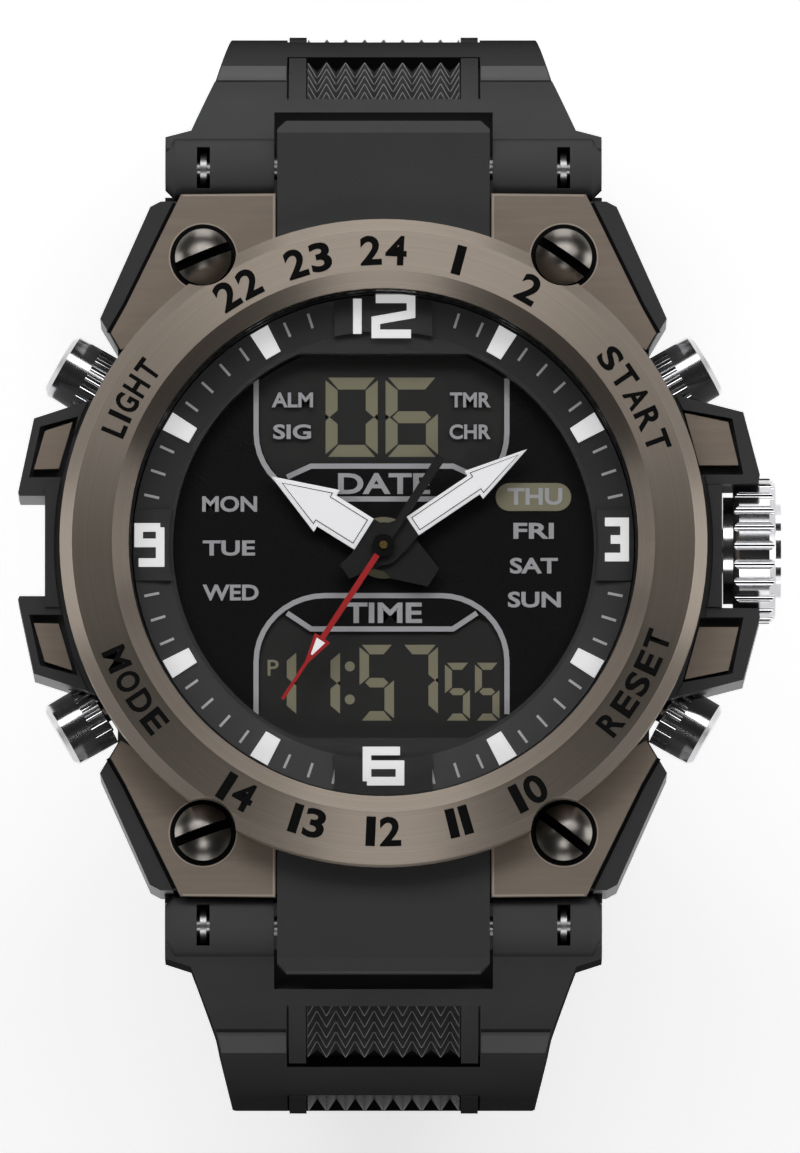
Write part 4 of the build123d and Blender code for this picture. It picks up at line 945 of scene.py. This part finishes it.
def pyramids(side, body):
    """All the pyramids of one strap half, each on the floor of its recess, with a painted highlight on their
    bevelled ridges.
    """
    made = bmesh.new()
    ridges = []
    for begin, finish, skin, floor in inset_recesses(side):
        rows = cells(begin, finish - INSET_END_GAP, PYRAMID_ROWS, 1)
        columns = cells(-INSET_HALF, INSET_HALF, PYRAMID_COLUMNS, 2)
        for near, far, row_peak in rows:
            for left, right, column_peak in columns:
                corners = ((near, left), (near, right), (far, right), (far, left))
                base = [made.verts.new(strap_place(side, along, floor + PYRAMID_FOOT, across))
                        for along, across in corners[::side]]
                peak = made.verts.new(strap_place(side, row_peak, floor + PYRAMID_RISE, column_peak))
                made.faces.new(base[::-1])
                for corner in range(4):
                    made.faces.new((base[corner], base[(corner + 1) % 4], peak))
                ridges += peak.link_edges
    # The bevelled ridges take the lighter second material: painted highlight.
    bmesh.ops.bevel(made, geom=ridges, offset=RIDGE_WIDTH, offset_type="WIDTH", segments=1, profile=0.5,
                    affect="EDGES", material=1, clamp_overlap=True)
    mesh = bpy.data.meshes.new(body + "_texture")
    made.to_mesh(mesh)
    made.free()
    mesh.materials.append(inset_resin)
    mesh.materials.append(ridge_highlight_resin)
    texture = add_object(body + "_texture", mesh)
    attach(texture, body)


def cross_prism(points, faces, side, profile, low, high):
    """A solid across a strap with a profile of places along and out, between two widths for each place."""
    first = len(points)
    count = len(profile)
    for limit in (low, high):
        points += [strap_place(side, along, out, limit(along, out)) for along, out in profile]
    turn = side if high(*profile[0]) > low(*profile[0]) else -side
    loops = [tuple(first + number for number in range(count)),
             tuple(first + count + count - 1 - number for number in range(count))]
    for number in range(count):
        after = (number + 1) % count
        loops.append((first + number, first + count + number, first + count + after, first + after))
    faces += [loop[::turn] for loop in loops]


def shadow_gaps(side, body):
    """The painted shadow at the end of each recess: black on its floor past the inlay, and on its end wall.
    """
    points, faces = [], []
    for _, finish, skin, floor in inset_recesses(side):
        wall = finish - GAP_PLATE
        for profile in (
            rectangle(finish - INSET_END_GAP, wall, floor, floor + GAP_PLATE),
            rectangle(wall, finish, floor, skin - GAP_PLATE),
        ):
            cross_prism(points, faces, side, profile, lambda along, out: -RECESS_HALF,
                        lambda along, out: RECESS_HALF)
    piece(body + "_inset_end_shadows", points, faces, engraving_and_shade_black, body)


def strap_half(y):
    """Half the strap's width at a distance from the middle of the watch."""
    for (x0, y0), (x1, y1) in zip(SHOULDERS, SHOULDERS[1:]):
        if y <= y1:
            return x0 + (x1 - x0) * (y - y0) / (y1 - y0)
    return SHOULDERS[-1][0]


def ledge(side, body):
    """The groove and the lip where the strap's root meets its first link, beside the recess: painted shadow
    in the groove, and a painted highlight on the raised lip.
    """
    def inner(along, out):
        return LEDGE_INNER

    def outer(along, out):
        return strap_half(abs(strap_place(side, along, out, 0)[1])) - LEDGE_EDGE

    def mirrored(limit):
        return lambda along, out: -limit(along, out)

    for name, profile, material in (
        ("groove", GROOVE_PROFILE, engraving_and_shade_black),
        ("lip", LIP_PROFILE, lip_highlight_resin),
    ):
        points, faces = [], []
        raised = [(along, LINK_HALF_THICK + out) for along, out in profile]
        cross_prism(points, faces, side, raised, inner, outer)
        cross_prism(points, faces, side, raised, mirrored(inner), mirrored(outer))
        piece(body + "_" + name, points, faces, material, body)


for side, body in ((1, "strap_12"), (-1, "strap_6")):
    pyramids(side, body)
    shadow_gaps(side, body)
    ledge(side, body)

# Floor, lights and camera
PALE = linear(255, 255, 255)
FLOOR_SIZE = 12.0
FLOOR_GLOW = 0.6
FLOOR_GRAIN = 0.2


def pale_floor():
    """A plain floor that looks white, also in reflections, and keeps the watch's shadow."""
    made, tree, principled, output = shader("floor")
    feed_all(tree, principled, Base_Color=linear(235, 235, 235),
             Roughness=spread(tree, object_noise(tree, FLOOR_GRAIN), 0.6, 0.65))
    path = tree.nodes.new("ShaderNodeLightPath").outputs
    seen = path["Is Camera Ray"]
    for kind in ("Is Glossy Ray", "Is Transmission Ray"):
        seen = maths(tree, "MAXIMUM", seen, path[kind])
    white = add_node(tree, "ShaderNodeEmission", Color=PALE, Strength=FLOOR_GLOW).outputs["Emission"]
    nothing = add_node(tree, "ShaderNodeEmission", Strength=0.0).outputs["Emission"]
    both = tree.nodes.new("ShaderNodeAddShader")
    feed(tree, both.inputs[0], principled.outputs["BSDF"])
    feed(tree, both.inputs[1], mixed_shader(tree, seen, nothing, white))
    feed_all(tree, output, Surface=both.outputs["Shader"])
    half = FLOOR_SIZE / 2
    mesh = bpy.data.meshes.new("floor")
    corners = [(-half, -half), (half, -half), (half, half), (-half, half)]
    mesh.from_pydata([(x, y, floor_height) for x, y in corners], [], [(0, 1, 2, 3)])
    mesh.materials.append(made)
    floor = add_object("floor", mesh)


pale_floor()

# Each lamp with its place, its width and height, and its power; all are aimed at the dial
LAMPS = (
    ("back_light", (0.0, 0.42, 0.62), 0.45, 0.3, 1.1),
    ("back_left_light", (-0.32, 0.3, 0.62), 0.4, 0.3, 0.75),
    ("back_right_light", (0.32, 0.3, 0.62), 0.4, 0.3, 0.75),
    ("front_light", (0.0, -0.42, 0.62), 0.25, 0.25, 0.65),
    ("back_card", (0.0, 0.7, 0.12), 0.45, 0.3, 0.9),
    ("front_card", (0.0, -0.7, 0.12), 0.35, 0.3, 0.5),
    ("left_card", (-0.7, 0.0, 0.14), 0.35, 0.3, 0.75),
    ("right_card", (0.7, 0.0, 0.14), 0.35, 0.3, 0.85),
)


def aimed(name, data, place, back):
    """A lamp or a camera at a place, with its back to a direction."""
    made = add_object(name, data)
    made.location = place
    made.rotation_mode = "QUATERNION"
    made.rotation_quaternion = (-back).to_track_quat("-Z", "Y")
    return made


for name, place, wide, tall, power in LAMPS:
    light = bpy.data.lights.new(name, "AREA")
    light.shape = "RECTANGLE"
    light.size = wide
    light.size_y = tall
    light.energy = power
    aimed(name, light, place, Vector(place) - Vector((0, 0, dial_top)))

# Sky: pale behind the floor's far edge, dark above it
SKY_PALE, SKY_DARK = 0.85, 0.02
HORIZON_FROM, HORIZON_TO = 0.02, 0.06
world = bpy.data.worlds.new("studio")
world.use_nodes = True
sky = world.node_tree
sky.nodes["Background"].inputs["Color"].default_value = PALE
up = split(sky, own_space(sky, "Generated"))["Z"]
feed_all(sky, sky.nodes["Background"], Strength=spread(sky, up, SKY_PALE, SKY_DARK, HORIZON_FROM, HORIZON_TO))
bpy.context.scene.world = world
bpy.context.scene.view_settings.view_transform = "Standard"

PHOTO_HEIGHT = 1153
VIEW_ELEVATION = radians(85.5)
CAMERA_DISTANCE = 2.6
CLIP_NEAR, CLIP_FAR = 0.01, 10
SENSOR = 36.0
aim_point = Vector((1.2 * MM, -2.25 * MM, 11.0 * MM))
lens = bpy.data.cameras.new("camera")
lens.sensor_width = SENSOR
lens.lens = SENSOR * CAMERA_DISTANCE / (PHOTO_HEIGHT * PIXEL)
lens.clip_start = CLIP_NEAR
lens.clip_end = CLIP_FAR
back = Vector((0, -cos(VIEW_ELEVATION), sin(VIEW_ELEVATION)))
camera = aimed("camera", lens, aim_point + back * CAMERA_DISTANCE, back)
bpy.context.scene.camera = camera
